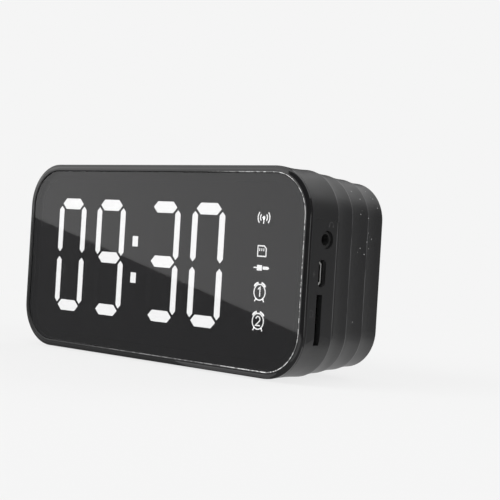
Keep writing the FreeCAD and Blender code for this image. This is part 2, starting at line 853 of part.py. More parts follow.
# Chips and coils on the main board: middle x and z, half width, half height and rise
CHIPS = (
    (6.0, 4.0, 3.5, 3.5, 0.9),
    (-12.0, 6.0, 2.6, 2.0, 1.6),
    (-30.0, -4.0, 3.2, 2.5, 1.5),
    (22.0, -8.0, 2.2, 2.2, 2.0),
    (-46.0, 10.0, 2.4, 1.8, 1.4),
    (40.0, 18.0, 2.0, 1.4, 1.1),
)


def board_pieces():
    """Chips, coils and a pair of capacitors on the back of the main board."""
    chips = new_body("board_chips")
    for x, z, half_x, half_z, rise in CHIPS:
        sketch = new_sketch(chips, "XZ", BOARD_BACK)
        rectangle(sketch, f"{x - half_x}", f"{x + half_x}", f"{z - half_z}", f"{z + half_z}")
        pad(sketch, f"{rise}")
    capacitors = new_body("board_capacitors")
    for place in (0, 1):
        sketch = new_sketch(capacitors, "XZ", BOARD_BACK)
        x = f"capacitor_place + {place} * capacitor_pitch"
        circle(sketch, x, "capacitor_level", "capacitor_radius")
        pad(sketch, "capacitor_length")


def audio_jack():
    """Round jack socket with a collar that reaches into the case's hole."""
    body = new_body("audio_jack")
    shell = new_sketch(body, "YZ", SOCKET_EDGE)
    rectangle(
        shell,
        BOARD_BACK,
        f"{BOARD_BACK} + jack_body_width",
        "jack_height - jack_body_width / 2",
        "jack_height + jack_body_width / 2",
    )
    pad(shell, "jack_body_length", -1)
    nose = new_sketch(body, "YZ", SOCKET_EDGE)
    circle(nose, JACK_BACK, "jack_height", "jack_nose_radius")
    pad(nose, f"{HALF_WIDTH} - jack_recess - {SOCKET_EDGE}")
    bore = new_sketch(body, "YZ", f"{HALF_WIDTH} - jack_recess")
    circle(bore, JACK_BACK, "jack_height", "jack_bore_radius")
    pocket(bore, "jack_bore_depth", -1)


def usb_socket():
    """Folded steel shell of the charging socket, with its plastic tongue."""
    shell = new_body("usb_socket")
    edge = f"({SOCKET_EDGE} + usb_shell_reach)"

    def shell_outline(sketch, shrink):
        half = f"(usb_shell_length / 2 - {shrink})"
        thick = f"(usb_shell_width / 2 - {shrink})"
        back = f"{USB_MIDDLE} + {thick}"
        ring = [
            (f"{USB_MIDDLE} - {thick}", f"usb_height - {half}"),
            (f"{back} - usb_shell_slant", f"usb_height - {half}"),
            (back, f"usb_height - {half} + usb_shell_slant"),
            (back, f"usb_height + {half} - usb_shell_slant"),
            (f"{back} - usb_shell_slant", f"usb_height + {half}"),
            (f"{USB_MIDDLE} - {thick}", f"usb_height + {half}"),
        ]
        outline(sketch, ring)

    outer = new_sketch(shell, "YZ", edge)
    shell_outline(outer, "0")
    pad(outer, "usb_shell_depth", -1)
    inner = new_sketch(shell, "YZ", edge)
    shell_outline(inner, "usb_shell_wall")
    pocket(inner, "usb_shell_depth - usb_shell_floor", -1)
    tongue = new_body("usb_tongue")
    blade = new_sketch(tongue, "YZ", f"{edge} - usb_shell_depth + usb_shell_floor")
    near = f"({USB_MIDDLE} - usb_blade_shift)"
    rectangle(
        blade,
        f"{near} - usb_blade_thickness",
        near,
        "usb_height - usb_blade_width / 2",
        "usb_height + usb_blade_width / 2",
    )
    pad(blade, "usb_blade_length")


def card_socket():
    """Steel memory card socket, open towards the case's slot."""
    body = new_body("card_socket")
    edge = f"({SOCKET_EDGE} + card_shell_reach)"
    shell = new_sketch(body, "YZ", edge)
    rectangle(
        shell,
        BOARD_BACK,
        f"{BOARD_BACK} + card_shell_width",
        "card_height - card_shell_length / 2",
        "card_height + card_shell_length / 2",
    )
    pad(shell, "card_shell_depth", -1)
    mouth = new_sketch(body, "YZ", edge)
    rectangle(
        mouth,
        f"{CARD_MIDDLE} - card_mouth_width / 2",
        f"{CARD_MIDDLE} + card_mouth_width / 2",
        "card_height - card_mouth_length / 2",
        "card_height + card_mouth_length / 2",
    )
    pocket(mouth, "card_shell_depth - card_shell_floor", -1)


def main_housing():
    """Fluted case ring with its key openings, socket cut-outs, bosses and foot recesses."""
    body = new_body("main_housing")

    def flute(length, drop):
        chord = f"({length}) ^ 2 + ({drop}) ^ 2"
        return f"(({chord}) / (8 * flute_sag) + flute_sag / 2)"

    ring = [
        (HOUSING_FRONT, "wall"),
        (HOUSING_FRONT, "0", flute(f"crest_1_back - {HOUSING_FRONT}", "crest_1_inset"), 1),
        (
            "crest_1_back",
            "crest_1_inset",
            flute("crest_2_back - crest_1_back", "crest_2_inset - crest_1_inset"),
            1,
        ),
        (
            "crest_2_back",
            "crest_2_inset",
            flute("crest_3_back - crest_2_back", "crest_3_inset - crest_2_inset"),
            1,
        ),
        (
            "crest_3_back",
            "crest_3_inset",
            flute("crest_4_back - crest_3_back", "crest_4_inset - crest_3_inset"),
            1,
        ),
        ("crest_4_back", "crest_4_inset"),
        ("crest_4_back", REAR_INSIDE),
        (TAPER_FRONT, "wall"),
    ]
    case_ring(body, ring)
    # Snap grooves inside the top wall
    grooves = new_sketch(body, "XY", f"{HALF_HEIGHT} - wall - {CLEAR}")
    for low, middle in (("0", "0"), ("snap_pitch - snap_width / 2 - snap_fit", "snap_pitch")):
        rectangle(
            grooves,
            low,
            f"{middle} + snap_width / 2 + snap_fit",
            "snap_front - snap_fit",
            "snap_front + snap_length + snap_fit",
        )
    pocket(grooves, f"snap_height + groove_fit + {CLEAR}")
    # Rear boss with its web to the top wall
    boss_front = "(crest_4_back - boss_length)"
    boss = new_sketch(body, "XZ", boss_front)
    circle(boss, BOSS_X, BOSS_Z, "boss_radius")
    pad(boss, "boss_length")
    web = new_sketch(body, "XZ", boss_front)
    rectangle(
        web,
        f"{BOSS_X} - web_thickness / 2",
        f"{BOSS_X} + web_thickness / 2",
        BOSS_Z,
        f"{HALF_HEIGHT} - {REAR_INSIDE} + wall / 2",
    )
    pad(web, "boss_length")
    pilot = new_sketch(body, "XZ", "crest_4_back")
    circle(pilot, BOSS_X, BOSS_Z, "case_screw_radius + screw_fit")
    pocket(pilot, "case_screw_length + pilot_space", -1)
    mirror_quarter(body)
    # Clips under the top wall that hold the key board
    inner = "(key_board_width / 2 + clip_fit)"
    outer = f"({inner} + clip_thickness)"
    lip = "(key_board_width / 2 - clip_lip)"
    under = f"{KEY_BOARD_BOTTOM} - clip_fit / 2"
    low = f"{under} - clip_depth"
    top = f"{HALF_HEIGHT} - wall"
    half = [(outer, top), (outer, low), (lip, low), (lip, under), (inner, under)]
    ring = [(f"key_back - {back}", up) for back, up in half + [(inner, SWITCH_BOTTOM)]]
    ring += [(f"key_back + {back}", up) for back, up in [(inner, SWITCH_BOTTOM)] + half[::-1]]
    for side in (-1, 1):
        clip = new_sketch(body, "YZ", f"{side} * {CLIP_X} - clip_width / 2")
        outline(clip, ring)
        pad(clip, "clip_width")
    # Key openings
    keys = new_sketch(body, "XY", f"{HALF_HEIGHT} + {CLEAR}")
    for place in range(-2, 3):
        cut_rectangle(
            keys,
            "key_length / 2 + key_fit",
            "key_width / 2 + key_fit",
            "key_corner",
            f"{place} * key_pitch",
            "key_back",
        )
    pocket(keys, f"wall + key_cut_past + {CLEAR}", -1)
    # Socket panel, which runs out behind the first crest, and cut-outs
    outside = f"{HALF_WIDTH} + {CLEAR}"
    panel = new_sketch(body, "YZ", outside)
    panel_front = f"({HOUSING_FRONT} + panel_margin)"
    panel_back = "(crest_1_back + panel_overrun)"
    rounded_rectangle(
        panel,
        f"({panel_back} - {panel_front}) / 2",
        "(panel_top - panel_bottom) / 2",
        "panel_corner",
        f"({panel_back} + {panel_front}) / 2",
        "(panel_top + panel_bottom) / 2",
    )
    pocket(panel, f"{CLEAR} + panel_depth", -1)
    cuts = new_sketch(body, "YZ", outside)
    circle(cuts, JACK_BACK, "jack_height", "jack_hole_radius")
    rounded_rectangle(
        cuts,
        "usb_cut_width / 2",
        "usb_cut_length / 2",
        "usb_cut_corner",
        USB_BACK,
        "usb_height",
    )
    rectangle(
        cuts,
        f"{CARD_BACK} - card_cut_width / 2",
        f"{CARD_BACK} + card_cut_width / 2",
        "card_height - card_cut_length / 2",
        "card_height + card_cut_length / 2",
    )
    pocket(cuts, f"wall + socket_cut_past + {CLEAR}", -1)
    # Foot recesses
    for row in ("front", "rear"):
        recess = new_sketch(body, "XY", f"-{HALF_HEIGHT} - {CLEAR}")
        for side in (-1, 1):
            circle(
                recess,
                f"{side} * ({HALF_WIDTH} - foot_edge)",
                f"foot_back_{row}",
                "foot_radius + foot_fit",
            )
        pocket(recess, f"{CLEAR} + foot_recess_{row}")


def feet():
    """Two pairs of soft pads, taller at the back where the case tapers."""
    for row in ("front", "rear"):
        body = new_body(f"feet_{row}")
        sketch = new_sketch(body, "XY", FOOT_BOTTOM)
        circle(sketch, f"{HALF_WIDTH} - foot_edge", f"foot_back_{row}", "foot_radius")
        pad(sketch, f"foot_height + foot_recess_{row}")
        mirror(body, [], "YZ_Plane")


def rear_cover():
    """Back plate with a bevelled edge, grille recess, driver mouths, clips and screw seats."""
    body = new_body("rear_cover")
    plate = case_plate(body, COVER_FRONT, COVER_INSET, f"body_depth - {COVER_FRONT}")
    bevel = soften("Chamfer", plate, "Y", False, "cover_bevel")
    soften("Chamfer", bevel, "Y", False, "cover_edge")
    hollow = new_sketch(body, "XZ", COVER_FRONT)
    edge = "(crest_4_inset + cover_rim)"
    rounded_rectangle(
        hollow, f"{HALF_WIDTH} - {edge}", f"{HALF_HEIGHT} - {edge}", f"(corner_radius - {edge})"
    )
    pocket(hollow, f"{COVER_INNER} - {COVER_FRONT}")
    columns = new_sketch(body, "XZ", COVER_FRONT)
    for side in (-1, 1):
        for level in (-1, 1):
            square(columns, f"{side} * {BOSS_X}", f"{level} * {BOSS_Z}", "(boss_radius * 2)")
    pad(columns, f"{COVER_INNER} - {COVER_FRONT} + {OVERLAP}")
    # Locating ribs inside the case walls
    rib_front = f"({COVER_FRONT} - cover_rib_depth)"
    ribs = new_sketch(body, "XZ", rib_front)
    rib_out = f"({REAR_INSIDE} + cover_rib_fit)"
    rib_in = f"({rib_out} + cover_rib_thickness)"
    for level in (-1, 1):
        low, high = (rib_in, rib_out) if level > 0 else (rib_out, rib_in)
        rectangle(
            ribs,
            "-cover_rib_top / 2",
            "cover_rib_top / 2",
            f"{level} * ({HALF_HEIGHT} - {low})",
            f"{level} * ({HALF_HEIGHT} - {high})",
        )
        rectangle(
            ribs,
            f"{level} * ({HALF_WIDTH} - {low})",
            f"{level} * ({HALF_WIDTH} - {high})",
            "-cover_rib_side / 2",
            "cover_rib_side / 2",
        )
    pad(ribs, f"{COVER_INNER} - {rib_front} + {OVERLAP}")
    # Clips over the top and bottom edges of the loudspeakers' flanges
    inner = f"({DRIVER_HALF} + clip_fit)"
    outer = f"({inner} + clip_thickness)"
    lip = f"({DRIVER_HALF} - clip_lip)"
    over = f"({FLANGE_FRONT} - clip_fit / 2)"
    top = f"({over} - clip_depth)"
    base = f"{COVER_INNER} + {OVERLAP}"
    half = [(base, inner), (base, outer), (top, outer), (top, lip), (over, lip), (over, inner)]
    for side in (-1, 1):
        clips = new_sketch(body, "YZ", f"{side} * {DRIVER_PLACE} - clip_width")
        for level in (-1, 1):
            outline(clips, [(back, f"{level} * {up}") for back, up in half])
        pad(clips, "clip_width * 2")
    recess = new_sketch(body, "XZ", "body_depth")
    rounded_rectangle(
        recess,
        f"{GRILLE_HALF_X} + grille_fit",
        f"{GRILLE_HALF_Z} + grille_fit",
        "grille_corner + grille_fit",
    )
    pocket(recess, f"body_depth - {GRILLE_SEAT}", -1)
    mouths = new_sketch(body, "XZ", "body_depth")
    for side in (-1, 1):
        circle(mouths, f"{side} * {DRIVER_PLACE}", "0", MOUTH)
    pocket(mouths, f"body_depth - {COVER_INNER} + {OVERLAP}", -1)
    holes = new_sketch(body, "XZ", "body_depth")
    seats = new_sketch(body, "XZ", "body_depth")
    for side in (-1, 1):
        for level in (-1, 1):
            circle(
                holes, f"{side} * {BOSS_X}", f"{level} * {BOSS_Z}", "case_screw_radius + hole_fit"
            )
            circle(
                seats, f"{side} * {BOSS_X}", f"{level} * {BOSS_Z}", "case_screw_head + hole_fit"
            )
    pocket(holes, f"body_depth - {COVER_FRONT} + {OVERLAP}", -1)
    pocket(seats, f"body_depth - {SCREW_SEAT}", -1)


def speaker_grille():
    """Thin plate with a honeycomb of six-sided holes in front of each loudspeaker."""
    body = new_body("speaker_grille")
    plate = new_sketch(body, "XZ", GRILLE_SEAT)
    rounded_rectangle(plate, GRILLE_HALF_X, GRILLE_HALF_Z, "grille_corner")
    soften("Chamfer", pad(plate, "grille_thickness"), "Y", False, "grille_bevel")
    reach = f"({CELL_ACROSS} / sqrt(3))"
    corners = ((0, -1), (1, -0.5), (1, 0.5), (0, 1), (-1, 0.5), (-1, -0.5))
    for side in (-1, 1):
        for row in range(-GRILLE_RINGS, GRILLE_RINGS + 1):
            up = f"{row} * {CELL_PITCH} * sqrt(0.75)"
            cells = new_sketch(body, "XZ", GRILLE_SEAT, f"{side} * {DRIVER_PLACE}", up)
            count = 2 * GRILLE_RINGS + 1 - abs(row)
            for column in range(count):
                middle = f"{column - (count - 1) / 2} * {CELL_PITCH}"
                ring = [(f"{middle} + {x} * {CELL_ACROSS} / 2", f"{z} * {reach}") for x, z in corners]
                outline(cells, ring)
            pocket(cells, "grille_thickness")


def turned_piece(name, side, points):
    """Turn a profile of (radius, back) points about a loudspeaker's axis."""
    body = new_body(name)
    sketch = new_sketch(body, "XY", "0", f"{side} * {DRIVER_PLACE}")
    outline(sketch, points)
    revolve(sketch, "V_Axis")
    return body


def loudspeaker(side, word):
    """One loudspeaker: basket, magnet, moving coil and cone, soft surround and gasket."""
    seat = f"({YOKE_BORE} + basket_fit)"
    foot = f"({YOKE_BORE} + basket_foot)"
    basket = turned_piece(
        f"driver_basket_{word}",
        side,
        [
            (SURROUND_INNER, FLANGE_BACK),
            (foot, f"{BASKET_FRONT} + basket_sheet"),
            (seat, f"{BASKET_FRONT} + basket_sheet"),
            (seat, BASKET_FRONT),
            (f"{foot} + basket_sheet / 2", BASKET_FRONT),
            (f"{SURROUND_INNER} + basket_sheet", FLANGE_FRONT),
            (f"{SURROUND_INNER} + basket_rim", FLANGE_FRONT),
            (f"{SURROUND_INNER} + basket_rim", FLANGE_BACK),
        ],
    )
    flange = new_sketch(basket, "XZ", FLANGE_FRONT)
    cut_rectangle(
        flange,
        DRIVER_HALF,
        DRIVER_HALF,
        "driver_corner",
        f"{side} * {DRIVER_PLACE}",
    )
    circle(flange, f"{side} * {DRIVER_PLACE}", "0", f"{SURROUND_INNER} + basket_sheet")
    pad(flange, "flange_thickness")
    # Windows in the conical wall
    low = f"{BASKET_FRONT} + basket_sheet + window_front"
    high = f"{FLANGE_FRONT} - window_back"
    across = new_sketch(basket, "YZ", f"{side} * {DRIVER_PLACE} - {DRIVER_HALF}")
    rectangle(across, low, high, "-window_width / 2", "window_width / 2")
    pocket(across, f"{DRIVER_HALF} * 2")
    upright = new_sketch(basket, "XY", f"-{DRIVER_HALF}", f"{side} * {DRIVER_PLACE}")
    rectangle(upright, "-window_width / 2", "window_width / 2", low, high)
    pocket(upright, f"{DRIVER_HALF} * 2")
    turned_piece(
        f"driver_yoke_{word}",
        side,
        [
            ("0", YOKE_FRONT),
            (f"{YOKE_BORE} + yoke_wall", YOKE_FRONT),
            (f"{YOKE_BORE} + yoke_wall", BASKET_FRONT),
            (YOKE_BORE, BASKET_FRONT),
            (YOKE_BORE, f"{YOKE_FRONT} + yoke_floor"),
            ("0", f"{YOKE_FRONT} + yoke_floor"),
        ],
    )
    turned_piece(
        f"driver_magnet_{word}",
        side,
        [
            ("0", f"{YOKE_FRONT} + yoke_floor"),
            (f"{POLE_RADIUS} - magnet_step", f"{YOKE_FRONT} + yoke_floor"),
            (f"{POLE_RADIUS} - magnet_step", POLE_FRONT),
            ("0", POLE_FRONT),
        ],
    )
    turned_piece(
        f"driver_pole_{word}",
        side,
        [
            ("0", POLE_FRONT),
            (POLE_RADIUS, POLE_FRONT),
            (POLE_RADIUS, BASKET_FRONT),
            ("0", BASKET_FRONT),
        ],
    )
    turned_piece(
        f"voice_coil_{word}",
        side,
        [
            (COIL_INNER, f"{COIL_BACK} - coil_length"),
            (COIL_OUTER, f"{COIL_BACK} - coil_length"),
            (COIL_OUTER, COIL_BACK),
            (COIL_INNER, COIL_BACK),
        ],
    )
    turned_piece(
        f"driver_cone_{word}",
        side,
        [
            (COIL_OUTER, f"{COIL_BACK} - cone_paper"),
            (CONE_RADIUS, f"{FLANGE_BACK} - cone_paper"),
            (CONE_RADIUS, FLANGE_BACK),
            (COIL_OUTER, f"{COIL_BACK} + {OVERLAP}"),
        ],
    )
    cap_top = f"({COIL_BACK} + cap_height)"
    turned_piece(
        f"dust_cap_{word}",
        side,
        [
            ("0", f"{cap_top} - cap_paper"),
            (f"{COIL_OUTER} - cap_paper * 2", f"{COIL_BACK} + glue_gap"),
            (f"{COIL_OUTER} - cap_edge", f"{COIL_BACK} + glue_gap"),
            ("cap_shoulder", f"{cap_top} - cap_paper"),
            ("0", cap_top),
        ],
    )
    lip_top = f"({FLANGE_BACK} + surround_lip)"
    crest = f"(({CONE_RADIUS} + {SURROUND_INNER}) / 2)"
    inner_edge = f"({CONE_RADIUS} - surround_overlap)"
    surround = [
        (SURROUND_INNER, FLANGE_BACK),
        (SURROUND_OUTER, FLANGE_BACK),
        (SURROUND_OUTER, lip_top),
        (f"{SURROUND_INNER} + surround_shoulder", lip_top),
        (crest, f"{lip_top} + surround_roll"),
        (f"{CONE_RADIUS} - surround_shoulder", lip_top),
        (inner_edge, lip_top),
        (inner_edge, f"{FLANGE_BACK} + glue_gap"),
        (CONE_RADIUS, f"{FLANGE_BACK} + glue_gap"),
        (crest, f"{lip_top} + surround_roll - surround_skin"),
    ]
    turned_piece(f"driver_surround_{word}", side, surround)
    turned_piece(
        f"driver_gasket_{word}",
        side,
        [
            (f"{SURROUND_INNER} + surround_shoulder", lip_top),
            (f"{SURROUND_OUTER} + gasket_margin", lip_top),
            (f"{SURROUND_OUTER} + gasket_margin", COVER_INNER),
            (f"{SURROUND_INNER} + surround_shoulder", COVER_INNER),
        ],
    )


def keys():
    """Five keys with their switch plungers, and the small board that carries the switches."""
    for place, word in enumerate(("mode", "previous", "play", "next", "power"), start=-2):
        cap = new_body(f"key_{word}")
        x = f"{place} * key_pitch"
        lip = new_sketch(cap, "XY", LIP_BOTTOM)
        cut_rectangle(
            lip,
            "key_length / 2 + key_lip",
            "key_width / 2 + key_lip",
            "key_corner",
            x,
            "key_back",
        )
        pad(lip, "key_lip_thickness")
        face = new_sketch(cap, "XY", f"{LIP_TOP} - {OVERLAP}")
        cut_rectangle(face, "key_length / 2", "key_width / 2", "key_corner", x, "key_back")
        column = pad(face, f"{KEY_TOP} - {LIP_TOP} + {OVERLAP}")
        soften("Chamfer", column, "Z", False, "key_bevel")
        stem = new_sketch(cap, "XY", STEM_BOTTOM)
        square(stem, x, "key_back", "key_stem_width")
        pad(stem, f"key_stem_length + {OVERLAP}")
        plunger = new_body(f"plunger_{word}")
        pin = new_sketch(plunger, "XY", STEM_BOTTOM)
        square(pin, x, "key_back", "plunger_width")
        pad(pin, "plunger_length", -1)
    switches = new_body("key_switches")
    blocks = new_sketch(switches, "XY", SWITCH_BOTTOM)
    wells = new_sketch(switches, "XY", SWITCH_TOP)
    for place in range(-2, 3):
        x = f"{place} * key_pitch"
        square(blocks, x, "key_back", "switch_size")
        square(wells, x, "key_back", "(plunger_width + plunger_fit * 2)")
    pad(blocks, "switch_height")
    pocket(wells, "plunger_seat + key_travel + plunger_space", -1)
    board = new_body("key_board")
    strip = new_sketch(board, "XY", KEY_BOARD_BOTTOM)
    rectangle(
        strip,
        "-key_board_length / 2",
        "key_board_length / 2",
        "key_back - key_board_width / 2",
        "key_back + key_board_width / 2",
    )
    pad(strip, "key_board_thickness")


def battery():
    """Pouch cell on its foam tape, in the middle of the rear cover."""
    cell = new_body("battery_pack")
    sketch = new_sketch(cell, "XZ", BATTERY_FRONT)
    rounded_rectangle(sketch, "battery_width / 2", "battery_height / 2", "battery_corner")
    pad(sketch, "battery_thickness")
    tape = new_body("battery_tape")
    sketch = new_sketch(tape, "XZ", BATTERY_BACK)
    cut_rectangle(
        sketch,
        "(battery_width / 2 - battery_tape_margin)",
        "(battery_height / 2 - battery_tape_margin)",
        "battery_tape_corner",
    )
    pad(sketch, "battery_tape")


def screws():
    """Four equal screws that hold the rear cover to the case."""
    body = new_body("rear_cover_screws")
    head = new_sketch(body, "XZ", SCREW_SEAT)
    circle(head, BOSS_X, BOSS_Z, "case_screw_head")
    pad(head, "case_screw_head_depth")
    shank = new_sketch(body, "XZ", SCREW_SEAT)
    circle(shank, BOSS_X, BOSS_Z, "case_screw_radius")
    pad(shank, "case_screw_length", -1)
    mirror_quarter(body)


front_bezel()
display_lens()
lens_tape()
segment_mask()
diffuser_sheet()
segment_reflector()
clock_bars()
segment_leds()
main_board()
board_pieces()
audio_jack()
usb_socket()
card_socket()
main_housing()
feet()
rear_cover()
speaker_grille()
loudspeaker(-1, "left")
loudspeaker(1, "right")
keys()
battery()
screws()
document.recompute()

# Checks before anything is written

for item in document.Objects:
    if "Invalid" in item.State or "Error" in item.State:
        raise RuntimeError(f"{item.Label} could not be worked out: {item.State}")
    if item.isDerivedFrom("PartDesign::Pocket"):
        if not item.Shape.Volume < item.BaseFeature.Shape.Volume - 1e-6:
            raise RuntimeError(f"{item.Label} cuts nothing")

bodies = [item for item in document.Objects if item.isDerivedFrom("PartDesign::Body")]
for body in bodies:
    if body.Shape.isNull() or not body.Shape.isValid() or not body.Shape.Solids:
        raise RuntimeError(f"{body.Label} has no sound shape")

os.makedirs("parts", exist_ok=True)
for body in bodies:
    body.Shape.exportStep(os.path.join("parts", f"{body.Label}.step"))
print(f"{len(bodies)} pieces written")
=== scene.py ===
"""Alarm clock speaker: finishes, fine pieces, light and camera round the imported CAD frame.

Directions are the frame's own: x to the right as seen from the front, y from the display towards the
back, z up from the surface that the pads stand on. The pieces' sizes are in millimetres until their
meshes are made. Finishes, light, floor and camera are in metres.
"""

import enum
import functools
import json
import logging
import math
from dataclasses import dataclass, field
from typing import Any, Dict, List, Optional, Sequence, Tuple, Union

import bmesh
import bpy
import numpy as np
from mathutils import Matrix, Vector


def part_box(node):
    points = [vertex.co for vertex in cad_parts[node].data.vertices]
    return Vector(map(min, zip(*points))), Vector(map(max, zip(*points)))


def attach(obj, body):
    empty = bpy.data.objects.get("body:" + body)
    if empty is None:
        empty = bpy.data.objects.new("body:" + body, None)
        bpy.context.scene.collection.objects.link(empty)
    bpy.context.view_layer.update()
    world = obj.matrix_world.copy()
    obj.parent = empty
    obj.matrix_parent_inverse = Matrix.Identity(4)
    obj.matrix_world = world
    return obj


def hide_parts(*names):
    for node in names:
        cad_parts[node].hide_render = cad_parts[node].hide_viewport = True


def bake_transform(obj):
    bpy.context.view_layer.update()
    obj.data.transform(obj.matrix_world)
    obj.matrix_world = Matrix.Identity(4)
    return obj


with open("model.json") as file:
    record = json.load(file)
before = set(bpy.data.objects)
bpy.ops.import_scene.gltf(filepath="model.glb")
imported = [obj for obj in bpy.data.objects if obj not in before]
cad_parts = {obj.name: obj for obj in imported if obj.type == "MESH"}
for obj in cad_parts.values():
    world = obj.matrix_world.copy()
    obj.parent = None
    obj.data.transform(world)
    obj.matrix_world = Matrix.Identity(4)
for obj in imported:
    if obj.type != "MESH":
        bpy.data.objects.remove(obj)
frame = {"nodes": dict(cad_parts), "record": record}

LOG = logging.getLogger("alarm_clock_speaker")
MM = 0.001
SIGN_CREASE = 20.0
SAME_POINT = 1e-7

Colour = Tuple[float, float, float]
Number = Union["Signal", float]


# Places in the frame


@dataclass(frozen=True)
class Room:
    """The box that a CAD node fills at rest, in millimetres."""

    low: np.ndarray
    high: np.ndarray

    @property
    def middle(self) -> np.ndarray:
        """The box's middle."""
        return (self.low + self.high) / 2

    @property
    def half(self) -> np.ndarray:
        """Half the box's size."""
        return (self.high - self.low) / 2


@functools.lru_cache(maxsize=None)
def room(node: str) -> Room:
    """Read the box of a CAD node, once for each node.

    Args:
        node: the node's name.

    Returns:
        Its box.
    """
    low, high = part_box(node)
    return Room(np.array(low) / MM, np.array(high) / MM)


# Node materials


class Signal:
    """A value on its way through a material's nodes, which Python's operators add Math nodes to."""

    def __init__(self, shop: "NodeShop", socket: bpy.types.NodeSocket) -> None:
        """Wrap a socket.

        Args:
            shop: the maker of the material's nodes.
            socket: the output that carries the value.
        """
        self.shop = shop
        self.socket = socket

    def math(self, operation: str, first: Number, second: Number = 0.0) -> "Signal":
        """Add one Math node.

        Args:
            operation: Blender's word for the sum.
            first: the first term.
            second: the second term, where the operation has one.

        Returns:
            The node's result.
        """
        node = self.shop.node("ShaderNodeMath", {"operation": operation}, {0: first, 1: second})
        return Signal(self.shop, node.outputs[0])

    def __add__(self, other: Number) -> "Signal":
        """Add a term."""
        return self.math("ADD", self, other)

    def __radd__(self, other: Number) -> "Signal":
        """Add to a term."""
        return self.math("ADD", other, self)

    def __sub__(self, other: Number) -> "Signal":
        """Take a term away."""
        return self.math("SUBTRACT", self, other)

    def __rsub__(self, other: Number) -> "Signal":
        """Take from a term."""
        return self.math("SUBTRACT", other, self)

    def __mul__(self, other: Number) -> "Signal":
        """Multiply by a term."""
        return self.math("MULTIPLY", self, other)

    def __rmul__(self, other: Number) -> "Signal":
        """Multiply a term."""
        return self.math("MULTIPLY", other, self)

    def __abs__(self) -> "Signal":
        """Drop the sign."""
        return self.math("ABSOLUTE", self)

    def above(self, level: Number) -> "Signal":
        """Give 1 where the value is over a level and 0 elsewhere."""
        return self.math("GREATER_THAN", self, level)

    def lowest(self, other: Number) -> "Signal":
        """Keep the smaller of two values."""
        return self.math("MINIMUM", self, other)

    def highest(self, other: Number) -> "Signal":
        """Keep the larger of two values."""
        return self.math("MAXIMUM", self, other)

    def sine(self) -> "Signal":
        """Take the sine of the value."""
        return self.math("SINE", self)

    def step(self, low: float, high: float) -> "Signal":
        """Rise smoothly from 0 at the low value to 1 at the high one, or fall if low is over high.

        Args:
            low: the value that gives 0.
            high: the value that gives 1.

        Returns:
            The eased share.
        """
        if low > high:
            return 1.0 - self.step(high, low)
        settings = {"interpolation_type": "SMOOTHSTEP"}
        node = self.shop.node("ShaderNodeMapRange", settings, {0: self, 1: low, 2: high, 3: 0.0, 4: 1.0})
        return Signal(self.shop, node.outputs[0])


